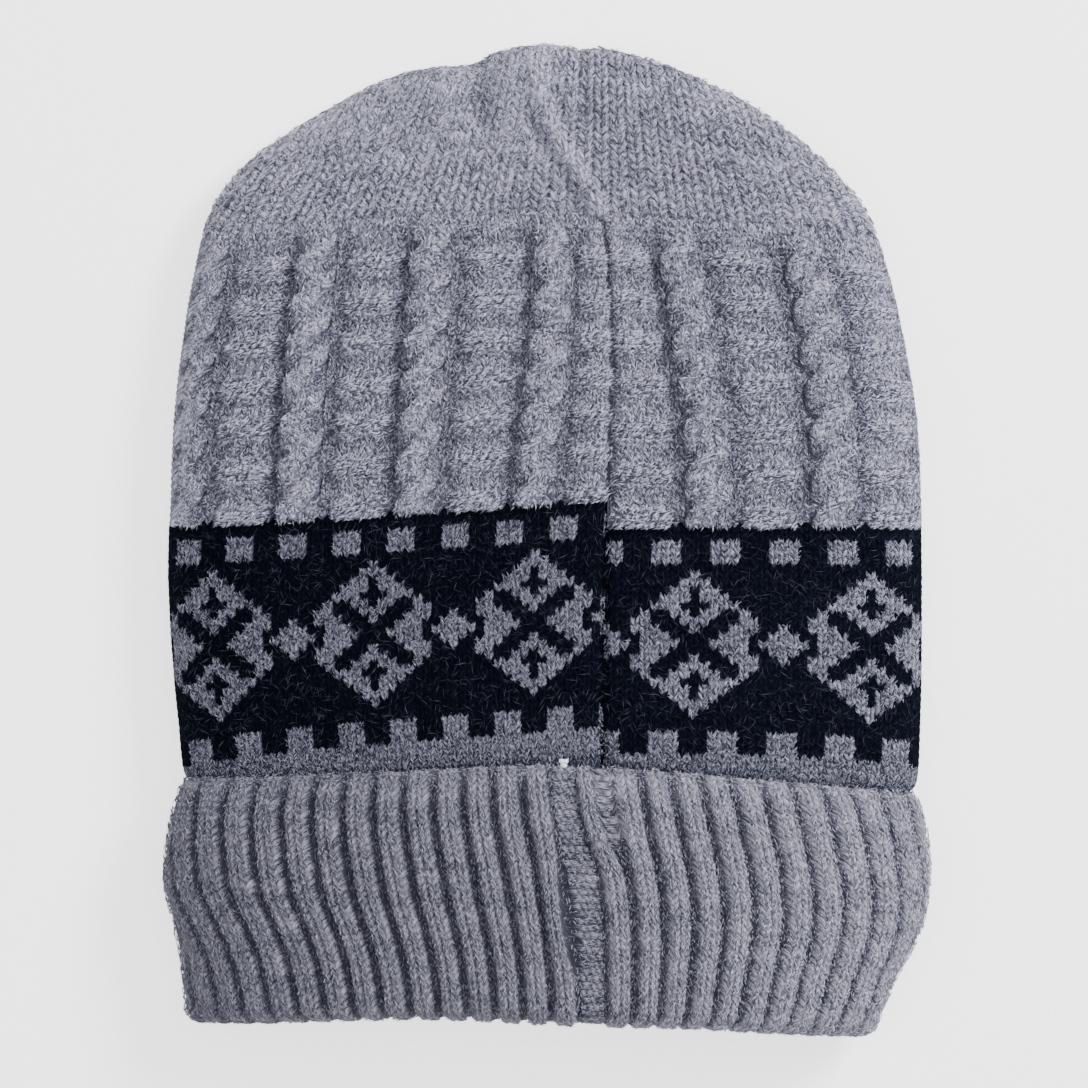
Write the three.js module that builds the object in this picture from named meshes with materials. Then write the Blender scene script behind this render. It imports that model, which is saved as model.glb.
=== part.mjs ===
import * as THREE from "three";

// A knitted winter cap that lies flat with its back seam up. Millimetres: X runs across the cap, Y from
// the folded brim to the crown and Z up from the surface it lies on. The origin is under its middle.

// Knitting: stitches are counted round the cap from the back seam towards +X.
const STITCHES = 162;
const SEAM_GAP = 0.6; // half the width, in stitches, in which the rows step at the seam
const BAND_ROWS = 39;
const BAND_ROW = 2.03;
const CABLE_ROWS = 43;
const CROWN_ROWS = 65;
const CABLE_COUNT = 12;
const FIRST_CABLE = 10;
const LAST_CABLE = 153.6;
const CABLE_HALF = 2.3;
const FADE_ROWS = 4; // the last rows of a cable, over which it runs out
const TWIST_ROWS = 6;
const WELT_ROWS = 6;
const RIB_STITCHES = 3;
const SEAM_STRIP = 1; // half the width, in stitches, of the strip at the cuff's seam

// Walls, and the small gap that the pieces keep where they meet.
const BODY_WALL = 3.6;
const CUFF_WALL = 4.3;
const LIP_WALL = 1.9;
const GAP = 0.3;
const CUFF_SLOT = 0.8;

// Where the pieces meet along Y.
const BAND_TOP = 3.4;
const CAP_TOP = 134.2;
const SEAM_RISE = 7.3; // the rows left of the seam climb this much towards it
const RISE_POWER = 1.3;
const RISE_FADE_ROWS = 30;
const TUCK_ROW = 34.5; // from this row of the band on, the rows level out under the cuff

// Relief of the knit, outwards.
const CABLE_HEIGHT = 1.5;
const CABLE_TWIST = 0.55;
const CABLE_POWER = 3;
const VALLEY = 0.9;
const VALLEY_OFFSET = 0.5;
const VALLEY_WIDTH = 0.8;
const WELT = 0.55;
const WELT_OFFSET = 1;
const RIB = 1.1;
const LIP_RIB = 0.5;
const SEAM_GROOVE = 0.7;
const SEAM_WIDTH = 0.9;
const SEAM_RIDGE = { away: 2, width: 1 };
const GATHER = 0.9;
const GATHER_FOLDS = 9;
const GATHER_START_ROW = CABLE_ROWS + 4;
const GATHER_ROWS = 10;
const PRESSED = 0.35; // share of the relief that is left at the side folds and underneath
const PRESSED_EASE = 12; // stitches inside the folds over which the relief gets its full height

// Section form: the share of the height at which the side folds lie, and the roundness of each half.
const SIDE_HEIGHT = 0.45;
const UPPER_POWER = 3.6;
const LOWER_POWER = 7;
const EDGE_POWER = 4; // how near the side folds the way in turns with the outline
const CLOSING = 14; // length over which the crown's thickness closes at the top
const CONTACT = 0.15; // cloth that lies lower than this is pressed flat on the surface

// Crown and band: outer form at sections along Y, with the side folds, the seam and the height.
const BODY_SECTIONS = [
  { y: -76.0, left: -95.4, right: 95.4, seam: 14.7, low: 5.5, high: 22.3 },
  { y: -70.0, left: -95.2, right: 95.6, seam: 14.8, low: 5.0, high: 21.8 },
  { y: -68.4, left: -95.4, right: 96.6, seam: 14.8, low: 4.7, high: 21.8 },
  { y: -66.8, left: -95.6, right: 98.8, seam: 14.9, low: 4.4, high: 21.7 },
  { y: -65.0, left: -96.2, right: 99.6, seam: 14.9, low: 4.0, high: 21.7 },
  { y: -63.4, left: -97.7, right: 99.9, seam: 14.9, low: 3.7, high: 21.7 },
  { y: -59.0, left: -98.7, right: 100.3, seam: 15.0, low: 3.0, high: 21.8 },
  { y: -50.0, left: -99.5, right: 100.6, seam: 15.0, low: 1.2, high: 22.0 },
  { y: -38.0, left: -100.8, right: 101.0, seam: 15.2, low: 0.0, high: 21.6 },
  { y: -10.0, left: -102.5, right: 101.1, seam: 15.6, low: 0.0, high: 21.0 },
  { y: 11.0, left: -101.9, right: 100.8, seam: 16.8, low: 0.0, high: 20.6 },
  { y: 32.5, left: -101.1, right: 99.8, seam: 17.3, low: 0.0, high: 20.2 },
  { y: 54.0, left: -98.7, right: 96.3, seam: 17.4, low: 0.0, high: 19.4 },
  { y: 76.0, left: -94.9, right: 91.1, seam: 16.2, low: 0.0, high: 18.2 },
  { y: 91.0, left: -90.0, right: 84.8, seam: 13.5, low: 0.0, high: 17.2 },
  { y: 104.0, left: -79.3, right: 73.0, seam: 6.0, low: 0.0, high: 16.2 },
  { y: 113.5, left: -64.9, right: 61.2, seam: 0.8, low: 0.0, high: 15.4 },
  { y: 120.2, left: -53.0, right: 50.6, seam: -1.0, low: 0.0, high: 14.8 },
  { y: 126.6, left: -38.6, right: 36.6, seam: -2.4, low: 0.0, high: 14.2 },
  { y: 128.5, left: -23.0, right: 31.6, seam: -2.7, low: 0.0, high: 14.1 },
  { y: 129.9, left: -18.4, right: 27.4, seam: -2.9, low: 0.0, high: 14.0 },
  { y: 131.5, left: -15.2, right: 22.0, seam: -2.4, low: 0.0, high: 13.9 },
  { y: 133.1, left: -8.2, right: 13.4, seam: -1.0, low: 0.0, high: 13.8 },
  { y: CAP_TOP, left: 1.5, right: 1.5, seam: 1.5, low: 0.0, high: 13.8 },
];

// Rows of the crown, counted from the band: their height along Y at the middle and at the side folds.
const CROWN_COURSES = [
  { row: 0, centre: BAND_TOP + GAP, edge: BAND_TOP + GAP },
  { row: 22, centre: 47.5, edge: 46.0 },
  { row: CABLE_ROWS, centre: 87.0, edge: 80.5 },
  { row: 48, centre: 99.0, edge: 89.5 },
  { row: 53, centre: 110.5, edge: 98.5 },
  { row: 58, centre: 121.0, edge: 109.5 },
  { row: 62, centre: 128.5, edge: 120.5 },
  { row: 64, centre: 132.0, edge: 127.2 },
  { row: 64.3, centre: 132.8, edge: 128.9 },
  { row: 64.7, centre: 133.5, edge: 131.6 },
  { row: CROWN_ROWS, centre: CAP_TOP, edge: CAP_TOP },
];

// Cuff: outer form at sections along Y.
const CUFF_SECTIONS = [
  { y: -136.0, left: -97.4, right: 89.6, seam: 12.6, low: 0.0, high: 26.0 },
  { y: -130.0, left: -97.5, right: 89.2, seam: 12.6, low: 0.0, high: 27.0 },
  { y: -124.0, left: -97.6, right: 91.6, seam: 12.4, low: 0.0, high: 28.2 },
  { y: -118.5, left: -98.1, right: 93.8, seam: 12.2, low: 0.0, high: 28.8 },
  { y: -113.0, left: -98.7, right: 96.8, seam: 11.9, low: 0.0, high: 29.2 },
  { y: -107.7, left: -99.8, right: 99.5, seam: 11.5, low: 0.0, high: 29.4 },
  { y: -102.3, left: -101.0, right: 101.4, seam: 11.1, low: 0.0, high: 29.5 },
  { y: -97.0, left: -102.4, right: 102.3, seam: 10.6, low: 0.0, high: 29.4 },
  { y: -91.0, left: -103.2, right: 103.0, seam: 9.8, low: 0.0, high: 29.3 },
  { y: -85.0, left: -103.0, right: 102.8, seam: 8.6, low: 0.0, high: 28.9 },
  { y: -80.0, left: -102.3, right: 102.3, seam: 7.4, low: 0.0, high: 28.5 },
  { y: -75.0, left: -101.5, right: 101.4, seam: 6.4, low: 0.0, high: 28.0 },
  { y: -70.0, left: -100.3, right: 100.1, seam: 5.6, low: 0.0, high: 27.2 },
  { y: -66.7, left: -99.5, right: 99.5, seam: 5.2, low: 0.0, high: 26.3 },
  { y: -63.5, left: -98.8, right: 99.1, seam: 4.9, low: 0.0, high: 25.2 },
  { y: -58.0, left: -98.0, right: 98.4, seam: 4.6, low: 0.0, high: 24.8 },
];

// Stitches at the cuff's side folds along Y: towards the brim more ribs lie on the left of its face.
const CUFF_TURNS = [
  { y: -136, right: 34.8, left: 116.6 },
  { y: -124, right: 34.8, left: 116.6 },
  { y: -108, right: 35.2, left: 117.8 },
  { y: -97, right: 35.6, left: 119.3 },
  { y: -86, right: 36.2, left: 120.0 },
  { y: -72, right: 36.4, left: 121.0 },
  { y: -58, right: 36.4, left: 121.2 },
];

// Free edge and fold of the cuff along Y, at places across the cap from -1 to 1.
const CUFF_EDGES = [
  { across: -1.0, lip: -64.3, fold: -130.8 },
  { across: -0.58, lip: -62.9, fold: -129.1 },
  { across: -0.3, lip: -61.8, fold: -129.1 },
  { across: 0.04, lip: -60.2, fold: -130.7 },
  { across: 0.42, lip: -62.4, fold: -131.5 },
  { across: 0.64, lip: -64.5, fold: -132.6 },
  { across: 1.0, lip: -67.5, fold: -134.3 },
];
const CUFF_MIDDLE = -97;
const LIP_ROUNDING = 1;
const SLOT_TAPER = 9; // length below the lip over which the wall reaches its full thickness
const SLOT_FLOOR = 2; // the slot ends this far above the start of the nose

// Stitches at the side folds, from the seam: the right fold and then the left one.
const BODY_FOLDS = { right: 33.3, left: 111.7 };
const CUFF_FOLDS = { right: 35.6, left: 119.3 };
const CROWN_TURN = 9; // the folds move this many stitches where the crown closes
const CROWN_TURN_START = 80;

// Stitches and rows at which the surfaces have corners.
const CROWN_FOLD_STITCHES = [33.3, 36, 38.5, 41, 111.7, 114, 116.5, 119];
const FOLD_ZONE = 4;
const FOLD_OFFSETS = [-3, -1.5, 0, 1.5, 3];
const OUTER_COUNT = 46;
const INNER_COUNT = 34;
const CABLE_OFFSETS = [-CABLE_HALF - 0.5, -1.1, 1.1, CABLE_HALF + 0.5, 4.8, 8.2];
const SEAM_STITCHES = [SEAM_GAP, 2, 5];
const SEAM_MARGIN = 6;
const LEAST_STEP = 0.8;
const CROWN_INNER_ROWS = [64, 62, 58, 53, 47, 40, 30, 18, 8, 0];
const CROWN_LOW_ROWS = [0, 3, 6, 9, 12, 15, 18, 21, 24, 27, 30, 33, 36, 39, 42];
const CROWN_TOP_ROWS = [45, 48, 51, 54, 57, 59.5, 61.5, 63, 64, 64.3, 64.7];
const BAND_OUTER_ROWS = [0, 6, 14, 22, 27, 31, 33, 34, 34.8, 35.5, BAND_ROWS];
const BAND_INNER_ROWS = [0, 14, 27, BAND_ROWS];
const CUFF_RINGS = { inside: 5, nose: 5, outside: 7 };

// Above the band the cloth is drawn in towards the seam.
const PINCH = 0.34;
const PINCH_WIDTH = 13;
const PINCH_START = 10;
const PINCH_FULL = 80;
const PINCH_END = 125;

const clamp01 = (value) => Math.min(1, Math.max(0, value));
const mix = (a, b, share) => a + (b - a) * share;
const smooth = (value) => clamp01(value) ** 2 * (3 - 2 * clamp01(value));
const bell = (distance, width) => Math.exp(-((distance / width) ** 2));

// Value of a column between the rows of a table, halfway between a straight line and a smooth curve;
// the key column rises from row to row.
function lookUp(table, key, place, column) {
  const last = table.length - 1;
  let i = 0;
  while (i < last - 1 && table[i + 1][key] < place) i += 1;
  const slope = (k) => {
    const before = table[Math.max(0, k - 1)];
    const after = table[Math.min(last, k + 1)];
    return (after[column] - before[column]) / (after[key] - before[key]);
  };
  const step = table[i + 1][key] - table[i][key];
  const t = clamp01((place - table[i][key]) / step);
  const near = table[i][column] + slope(i) * step * t;
  const far = table[i + 1][column] - slope(i + 1) * step * (1 - t);
  const straight = mix(table[i][column], table[i + 1][column], t);
  return mix(straight, mix(near, far, t), 2 * t * (1 - t));
}

// One round of the cap at a height y: a flattened loop that knows where each stitch lies on it.
class Section {
  constructor({ left, right, low, high, seam }, folds) {
    this.middle = (left + right) / 2;
    this.half = Math.max(Section.LEAST_HALF, (right - left) / 2);
    this.sideZ = mix(low, high, SIDE_HEIGHT);
    this.upper = high - this.sideZ;
    this.lower = this.sideZ - low;
    this.folds = folds;
    const over = this.measure(Section.STEPS, this.upper, UPPER_POWER);
    const under = this.measure(Section.STEPS, this.lower, LOWER_POWER);
    this.over = over;
    this.under = under;
    const seamX = (seam - this.middle) / this.half;
    const after = Math.max(1, over.findIndex((point) => point.x < seamX));
    const [a, b] = [over[after - 1], over[after]];
    this.seamArc = mix(a.arc, b.arc, (a.x - seamX) / (a.x - b.x));
    this.overArc = over.at(-1).arc;
    this.underArc = under.at(-1).arc;
  }

  // Points of one half from the right fold to the left one, with the length along it.
  measure(steps, height, power) {
    const points = [];
    for (let i = 0; i <= steps; i += 1) {
      const angle = (Math.PI * i) / steps;
      const x = Math.cos(angle);
      const z = height * Math.sqrt(Math.max(0, 1 - Math.abs(x) ** power));
      const previous = points.at(-1);
      const run = previous
        ? Math.hypot((x - previous.x) * this.half, z - previous.z)
        : 0;
      points.push({ x, z, arc: (previous ? previous.arc : 0) + run });
    }
    return points;
  }

  // Place of a stitch on the loop: across from -1 to 1, and the height above the folds.
  place(stitch) {
    const { right, left } = this.folds;
    const visible = stitch <= right || stitch >= left;
    let arc = mix(0, this.underArc, (stitch - right) / (left - right));
    if (stitch <= right) arc = mix(this.seamArc, 0, stitch / right);
    if (stitch >= left)
      arc = mix(
        this.overArc,
        this.seamArc,
        (stitch - left) / (STITCHES - left),
      );
    const half = visible ? this.over : this.under;
    let i = half.findIndex((point) => point.arc >= arc);
    i = i < 1 ? half.length - 1 : i;
    const [a, b] = [half[i - 1], half[i]];
    const share = clamp01((arc - a.arc) / (b.arc - a.arc || 1));
    return {
      across: mix(a.x, b.x, share),
      z: mix(a.z, b.z, share) * (visible ? 1 : -1),
    };
  }
}
Section.STEPS = 120;
Section.LEAST_HALF = 0.01;

const fromSeam = (stitch) => (stitch > STITCHES / 2 ? stitch - STITCHES : stitch);

// The stitch whose even place a stitch takes at y, where the cloth is drawn in towards the seam.
function drawnIn(stitch, y) {
  const away = fromSeam(stitch);
  const pull =
    PINCH *
    smooth((y - PINCH_START) / (PINCH_FULL - PINCH_START)) *
    smooth((PINCH_END - y) / (PINCH_END - PINCH_FULL));
  const drawn = away * (1 - pull * bell(away, PINCH_WIDTH));
  return (drawn + STITCHES) % STITCHES;
}

// Outer form of a run of sections, with the stitches at its side folds as a function of y: gives the
// point of a stitch at y, moved in by a depth.
class Form {
  constructor(table, foldsAt, top = Infinity) {
    this.table = table;
    this.foldsAt = foldsAt;
    this.top = top;
  }

  section(y) {
    const row = {};
    for (const column of ["left", "right", "low", "high", "seam"])
      row[column] = lookUp(this.table, "y", y, column);
    return new Section(row, this.foldsAt(y));
  }

  // The way in from the side fold, in plan: a steep outline turns it towards -Y.
  inward(y) {
    const width = (at) =>
      lookUp(this.table, "y", at, "right") - lookUp(this.table, "y", at, "left");
    const slope = (width(y - Form.PROBE) - width(y + Form.PROBE)) / (4 * Form.PROBE);
    return { x: 1 / Math.hypot(1, slope), y: slope / Math.hypot(1, slope) };
  }

  point(stitch, y, depth) {
    const section = this.section(y);
    const { across, z } = section.place(drawnIn(stitch, y));
    const height = z > 0 ? section.upper : section.lower;
    const turn = clamp01((y - this.top + CLOSING) / CLOSING);
    const closing = Math.sqrt(1 - turn ** 2);
    const inset = this.inward(y);
    const flat = height > 0 ? z / height : 0;
    const toEdge = across ** EDGE_POWER;
    const drop = mix(turn, Math.max(0, inset.y), toEdge);
    const level = section.sideZ + flat * (height - depth) * closing;
    return new THREE.Vector3(
      section.middle + across * Math.max(0, section.half - depth * inset.x),
      y - depth * drop,
      level < CONTACT ? 0 : level,
    );
  }
}

Form.PROBE = 0.5;

// Stitches at the side folds of the body at y: they move where the crown closes.
function bodyFolds(y) {
  const closed = (y - CROWN_TURN_START) / (CAP_TOP - CROWN_TURN_START);
  const turn = CROWN_TURN * smooth(closed);
  return { right: BODY_FOLDS.right + turn, left: BODY_FOLDS.left + turn };
}

const cuffFolds = (y) => ({
  right: lookUp(CUFF_TURNS, "y", y, "right"),
  left: lookUp(CUFF_TURNS, "y", y, "left"),
});

const bodyForm = new Form(BODY_SECTIONS, bodyFolds, CAP_TOP);
const cuffForm = new Form(CUFF_SECTIONS, cuffFolds);

// How far a row left of the seam has climbed at a stitch.
function rise(stitch) {
  const along = (stitch - BODY_FOLDS.left) / (STITCHES - BODY_FOLDS.left);
  return SEAM_RISE * clamp01(along) ** RISE_POWER;
}

// A groove along the seam with a low ridge on either side.
function seamRelief(stitch) {
  const away = Math.abs(fromSeam(stitch));
  const ridge = bell(away - SEAM_RIDGE.away, SEAM_RIDGE.width);
  return SEAM_GROOVE * (ridge - bell(away, SEAM_WIDTH));
}

// Share of the relief that stands: all on the face, little at the side folds and underneath.
function pressing(stitch, folds) {
  const away = fromSeam(stitch);
  const inset = Math.min(folds.right - away, away + STITCHES - folds.left);
  return mix(PRESSED, 1, smooth(inset / PRESSED_EASE));
}

const cablePitch = (LAST_CABLE - FIRST_CABLE) / (CABLE_COUNT - 1);
const cableCentre = (k) => FIRST_CABLE + k * cablePitch;

function crownRelief(stitch, row) {
  const k = Math.round((stitch - FIRST_CABLE) / cablePitch);
  const nearest = cableCentre(Math.min(CABLE_COUNT - 1, Math.max(0, k)));
  const offset = stitch - nearest;
  const fade = smooth((CABLE_ROWS - row) / FADE_ROWS);
  const twist = CABLE_TWIST * Math.cos((2 * Math.PI * row) / TWIST_ROWS);
  const rope =
    (CABLE_HEIGHT + twist * Math.sign(offset)) *
    clamp01(1 - Math.abs(offset / CABLE_HALF) ** CABLE_POWER);
  const beside = Math.abs(offset) - CABLE_HALF;
  const valley = VALLEY * bell(beside - VALLEY_OFFSET, VALLEY_WIDTH);
  const wave = WELT * Math.cos((2 * Math.PI * row) / WELT_ROWS);
  const welt = beside > WELT_OFFSET ? wave : 0;
  const gather =
    GATHER *
    smooth((row - GATHER_START_ROW) / GATHER_ROWS) *
    Math.cos((2 * Math.PI * GATHER_FOLDS * stitch) / STITCHES);
  return (rope - valley + welt) * fade + gather + seamRelief(stitch);
}

function crownPoint(stitch, row, depth) {
  const centre = lookUp(CROWN_COURSES, "row", row, "centre");
  const edge = lookUp(CROWN_COURSES, "row", row, "edge");
  const level = Math.min(centre, CAP_TOP - 1);
  const { across } = bodyForm.section(level).place(stitch);
  const climb = rise(stitch) * (1 - smooth(row / RISE_FADE_ROWS));
  const relief = crownRelief(stitch, row) * pressing(stitch, BODY_FOLDS);
  const y = Math.min(CAP_TOP, mix(centre, edge, across ** 2) + climb);
  return bodyForm.point(stitch, y, depth > 0 ? depth : -relief);
}

function bandPoint(stitch, row, depth) {
  const level = 1 - smooth((row - TUCK_ROW) / (BAND_ROWS - TUCK_ROW));
  const y = BAND_TOP - row * BAND_ROW + rise(stitch) * level;
  const relief = seamRelief(stitch) * pressing(stitch, BODY_FOLDS) * level;
  return bodyForm.point(stitch, y, depth > 0 ? depth : -relief);
}

function cuffEdge(stitch, column) {
  const { across } = cuffForm.section(CUFF_MIDDLE).place(stitch);
  return lookUp(CUFF_EDGES, "across", across, column);
}

// Ribs of the cuff; the seam is a low strip between two of them.
const ribRelief = (stitch) =>
  Math.abs(fromSeam(stitch)) < SEAM_STRIP
    ? -RIB / 2
    : RIB * Math.cos((2 * Math.PI * stitch) / RIB_STITCHES);

// A closed surface that grows ring by ring; each ring goes once round the cap.
class Shell {
  constructor(name, material) {
    this.name = name;
    this.material = material;
    this.positions = [];
    this.faces = [];
  }

  add(point) {
    this.positions.push(point.x, point.y, point.z);
    return this.positions.length / 3 - 1;
  }

  ring(stitches, place) {
    return stitches.map((stitch) => ({
      stitch,
      index: this.add(place(stitch)),
    }));
  }

  // Joins two rings, which may have different numbers of stitches.
  join(a, b) {
    const at = (ring, i) =>
      ring[i % ring.length].stitch + (i >= ring.length ? STITCHES : 0);
    let i = 0;
    let j = 0;
    while (i < a.length || j < b.length) {
      const p = a[i % a.length].index;
      const q = b[j % b.length].index;
      const onA = j >= b.length || (i < a.length && at(a, i + 1) <= at(b, j + 1));
      if (onA) {
        i += 1;
        this.faces.push(p, a[i % a.length].index, q);
      } else {
        j += 1;
        this.faces.push(p, b[j % b.length].index, q);
      }
    }
  }

  joinAll(rings, closed) {
    for (let i = 1; i < rings.length; i += 1) this.join(rings[i - 1], rings[i]);
    if (closed) this.join(rings.at(-1), rings[0]);
  }

  // Closes a ring on a point; the ring comes before the point when last is true.
  closeOn(ring, point, last) {
    const pole = this.add(point);
    ring.forEach(({ index }, i) => {
      const next = ring[(i + 1) % ring.length].index;
      this.faces.push(...(last ? [index, next, pole] : [next, index, pole]));
    });
  }

  mesh() {
    const geometry = new THREE.BufferGeometry();
    geometry.setAttribute(
      "position",
      new THREE.Float32BufferAttribute(this.positions, 3),
    );
    geometry.setIndex(this.faces);
    geometry.computeVertexNormals();
    const mesh = new THREE.Mesh(geometry, this.material);
    mesh.name = this.name;
    return mesh;
  }
}

const spaced = (count, from, to) =>
  Array.from({ length: count }, (_, i) => mix(from, to, i / (count - 1)));

// Stitches at which the body's rings have a corner: evenly spaced, and closer where a side fold turns.
function ringStitches(count) {
  const folds = [BODY_FOLDS.right, BODY_FOLDS.left];
  const close = folds.flatMap((fold) => FOLD_OFFSETS.map((offset) => fold + offset));
  const even = spaced(count, SEAM_GAP, STITCHES - SEAM_GAP).filter((stitch) =>
    folds.every((fold) => Math.abs(stitch - fold) > FOLD_ZONE),
  );
  return [...even, ...close].sort((a, b) => a - b);
}
const outerStitches = ringStitches(OUTER_COUNT);
const innerStitches = ringStitches(INNER_COUNT);

// Stitches at which the crown's outer rings have a corner: on and beside each cable, at the side folds
// and beside the seam.
function cableStitches() {
  const cables = spaced(CABLE_COUNT, FIRST_CABLE, LAST_CABLE);
  const inside = cables
    .flatMap((centre) => CABLE_OFFSETS.map((offset) => centre + offset))
    .filter((stitch) => Math.abs(fromSeam(stitch)) > SEAM_MARGIN);
  const extra = CROWN_FOLD_STITCHES.filter((stitch) =>
    inside.every((other) => Math.abs(stitch - other) > LEAST_STEP),
  );
  const left = SEAM_STITCHES.map((stitch) => STITCHES - stitch);
  return [...SEAM_STITCHES, ...inside, ...extra, ...left].sort((a, b) => a - b);
}

function makeCrown(material) {
  const shell = new Shell("crown", material);
  const corners = cableStitches();
  const rings = [
    ...CROWN_INNER_ROWS.map((row) =>
      shell.ring(innerStitches, (s) => crownPoint(s, row, BODY_WALL)),
    ),
    ...[...CROWN_LOW_ROWS, ...CROWN_TOP_ROWS].map((row) =>
      shell.ring(corners, (s) => crownPoint(s, row, 0)),
    ),
  ];
  shell.closeOn(rings[0], crownPoint(0, CROWN_ROWS, BODY_WALL), false);
  shell.joinAll(rings, false);
  shell.closeOn(rings.at(-1), crownPoint(0, CROWN_ROWS, 0), true);
  return shell.mesh();
}

function makeBand(material) {
  const shell = new Shell("pattern_band", material);
  const rings = [
    ...BAND_INNER_ROWS.map((row) =>
      shell.ring(innerStitches, (s) => bandPoint(s, row, BODY_WALL)),
    ),
    ...BAND_OUTER_ROWS.toReversed().map((row) =>
      shell.ring(outerStitches, (s) => bandPoint(s, row, 0)),
    ),
  ];
  shell.joinAll(rings, true);
  return shell.mesh();
}

function makeCuff(material) {
  const shell = new Shell("cuff", material);
  const ribStitches = Array.from(
    { length: (2 * STITCHES) / RIB_STITCHES },
    (_, i) => (i * RIB_STITCHES) / 2,
  );
  const noseRadius = CUFF_WALL + CUFF_SLOT / 2;
  const innerDepth = 2 * noseRadius;
  const innerTop = BAND_TOP - BAND_ROWS * BAND_ROW - GAP;
  const noseStart = (s) => cuffEdge(s, "fold") + noseRadius;
  const lipY = (s) => cuffEdge(s, "lip");
  const relief = (s, share) => share * ribRelief(s) * pressing(s, CUFF_FOLDS);
  const ring = (place) =>
    shell.ring(ribStitches, (s) => {
      const { y, depth } = place(s);
      return cuffForm.point(s, y, depth);
    });

  const inside = spaced(CUFF_RINGS.inside, 0, 1).map((share) =>
    ring((s) => ({
      y: mix(innerTop, noseStart(s), share),
      depth: innerDepth + relief(s, PRESSED),
    })),
  );
  const nose = spaced(CUFF_RINGS.nose, 0, 1)
    .slice(1, -1)
    .map((share) =>
      ring((s) => ({
        y: noseStart(s) - noseRadius * Math.sin(Math.PI * share),
        depth: noseRadius * (1 + Math.cos(Math.PI * share)) - relief(s, share ** 2),
      })),
    );
  const outside = spaced(CUFF_RINGS.outside, 0, 1).map((share) =>
    ring((s) => ({
      y: mix(noseStart(s), lipY(s) - LIP_ROUNDING, share),
      depth: -relief(s, share < 1 ? 1 : LIP_RIB),
    })),
  );
  const lip = ring((s) => ({ y: lipY(s), depth: LIP_WALL / 2 }));
  const slotDown = [
    ring((s) => ({ y: lipY(s) - LIP_ROUNDING, depth: LIP_WALL })),
    ring((s) => ({ y: lipY(s) - SLOT_TAPER, depth: CUFF_WALL })),
    ring((s) => ({ y: noseStart(s) + SLOT_FLOOR, depth: CUFF_WALL })),
  ];
  const slotUp = [
    ring((s) => ({ y: noseStart(s) + SLOT_FLOOR, depth: CUFF_WALL + CUFF_SLOT })),
    ring(() => ({ y: innerTop, depth: CUFF_WALL + CUFF_SLOT })),
  ];
  shell.joinAll([...inside, ...nose, ...outside, lip, ...slotDown, ...slotUp], true);
  return shell.mesh();
}

const greyKnit = new THREE.MeshStandardMaterial({
  color: 0x8f909e,
  roughness: 0.95,
  metalness: 0,
});
const darkKnit = new THREE.MeshStandardMaterial({
  color: 0x12151f,
  roughness: 0.95,
  metalness: 0,
});

const cap = new THREE.Group();
cap.add(makeCrown(greyKnit), makeBand(darkKnit), makeCuff(greyKnit));

export default cap;
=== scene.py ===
"""A knitted winter cap, laid flat with its back seam up, made stitch by stitch around its frame."""

import copy
import logging
import math
from dataclasses import dataclass
from enum import Enum
from typing import Callable

import bmesh
import bpy
import numpy as np
from mathutils import Matrix, Vector


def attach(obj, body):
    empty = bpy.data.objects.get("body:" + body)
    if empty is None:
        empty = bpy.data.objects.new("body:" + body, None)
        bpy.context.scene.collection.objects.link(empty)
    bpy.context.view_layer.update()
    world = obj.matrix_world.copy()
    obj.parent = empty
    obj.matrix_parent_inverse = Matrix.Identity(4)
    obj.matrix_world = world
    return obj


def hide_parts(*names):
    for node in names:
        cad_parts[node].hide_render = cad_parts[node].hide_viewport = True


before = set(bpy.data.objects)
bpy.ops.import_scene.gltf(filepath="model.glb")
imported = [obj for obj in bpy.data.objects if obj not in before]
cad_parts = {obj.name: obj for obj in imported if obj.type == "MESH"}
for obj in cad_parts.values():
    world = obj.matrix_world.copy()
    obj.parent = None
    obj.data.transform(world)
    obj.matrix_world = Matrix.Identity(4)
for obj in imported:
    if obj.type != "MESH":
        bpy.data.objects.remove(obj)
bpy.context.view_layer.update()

log = logging.getLogger("winter_cap")
Array = np.ndarray
Place = Callable[[Array, Array, Array], Array]
Piece = bpy.types.Object
Socket = bpy.types.NodeSocket

MM = 0.001
BODY = "root"
SEED = 41

# Knitting. Stitches are counted from the back seam, up towards +X and down towards -X.
STITCHES = 162
HALF_ROUND = STITCHES / 2
STITCH_MM = 2.5
ROW_MM = 2.03
LEG_SLANT = 0.9  # rows that a leg of a stitch climbs from the middle of its wale to the edge
BAND_TOP = 3.2
CAP_TOP = 134.2
CROWN_ROWS = 65
CABLE_ROWS = 43
BODY_WALL = 3.6

# Nets of the knitted pieces.
LINES_A_ROW = 3
COARSE = 1.5  # stitches between the lines underneath
INSIDE = 0.1  # how far past its first line a face is looked up
TEXTURE_MM = 100  # millimetres of knitting in one unit of the texture

# How many loose fibres each piece gets.
CROWN_FIBRES, TOP_FIBRES = 49500, 28000
BAND_FIBRES, BAND_HAIRS = 52000, 5000
CUFF_FIBRES = 34000


def mix(a: Array, b: Array, share: Array) -> Array:
    """Blend of two values."""
    return a + (b - a) * share


def smooth(value: Array) -> Array:
    """Soft step from 0 to 1."""
    t = np.clip(value, 0, 1)
    return t * t * (3 - 2 * t)


def bell(distance: Array, width: float) -> Array:
    """Bell curve of height 1."""
    return np.exp(-((distance / width) ** 2))


def unit(vectors: Array) -> Array:
    """Vectors of length 1."""
    return vectors / (np.linalg.norm(vectors, axis=-1, keepdims=True) + 1e-12)


def arc(x: Array, y: Array) -> Array:
    """Distance along a line of points from its first one."""
    return np.concatenate([[0], np.cumsum(np.hypot(np.diff(x), np.diff(y)))])


def wrapped(stitch: Array) -> Array:
    """Stitch as counted once round the cap, from 0 up."""
    return np.mod(stitch, STITCHES)


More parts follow.
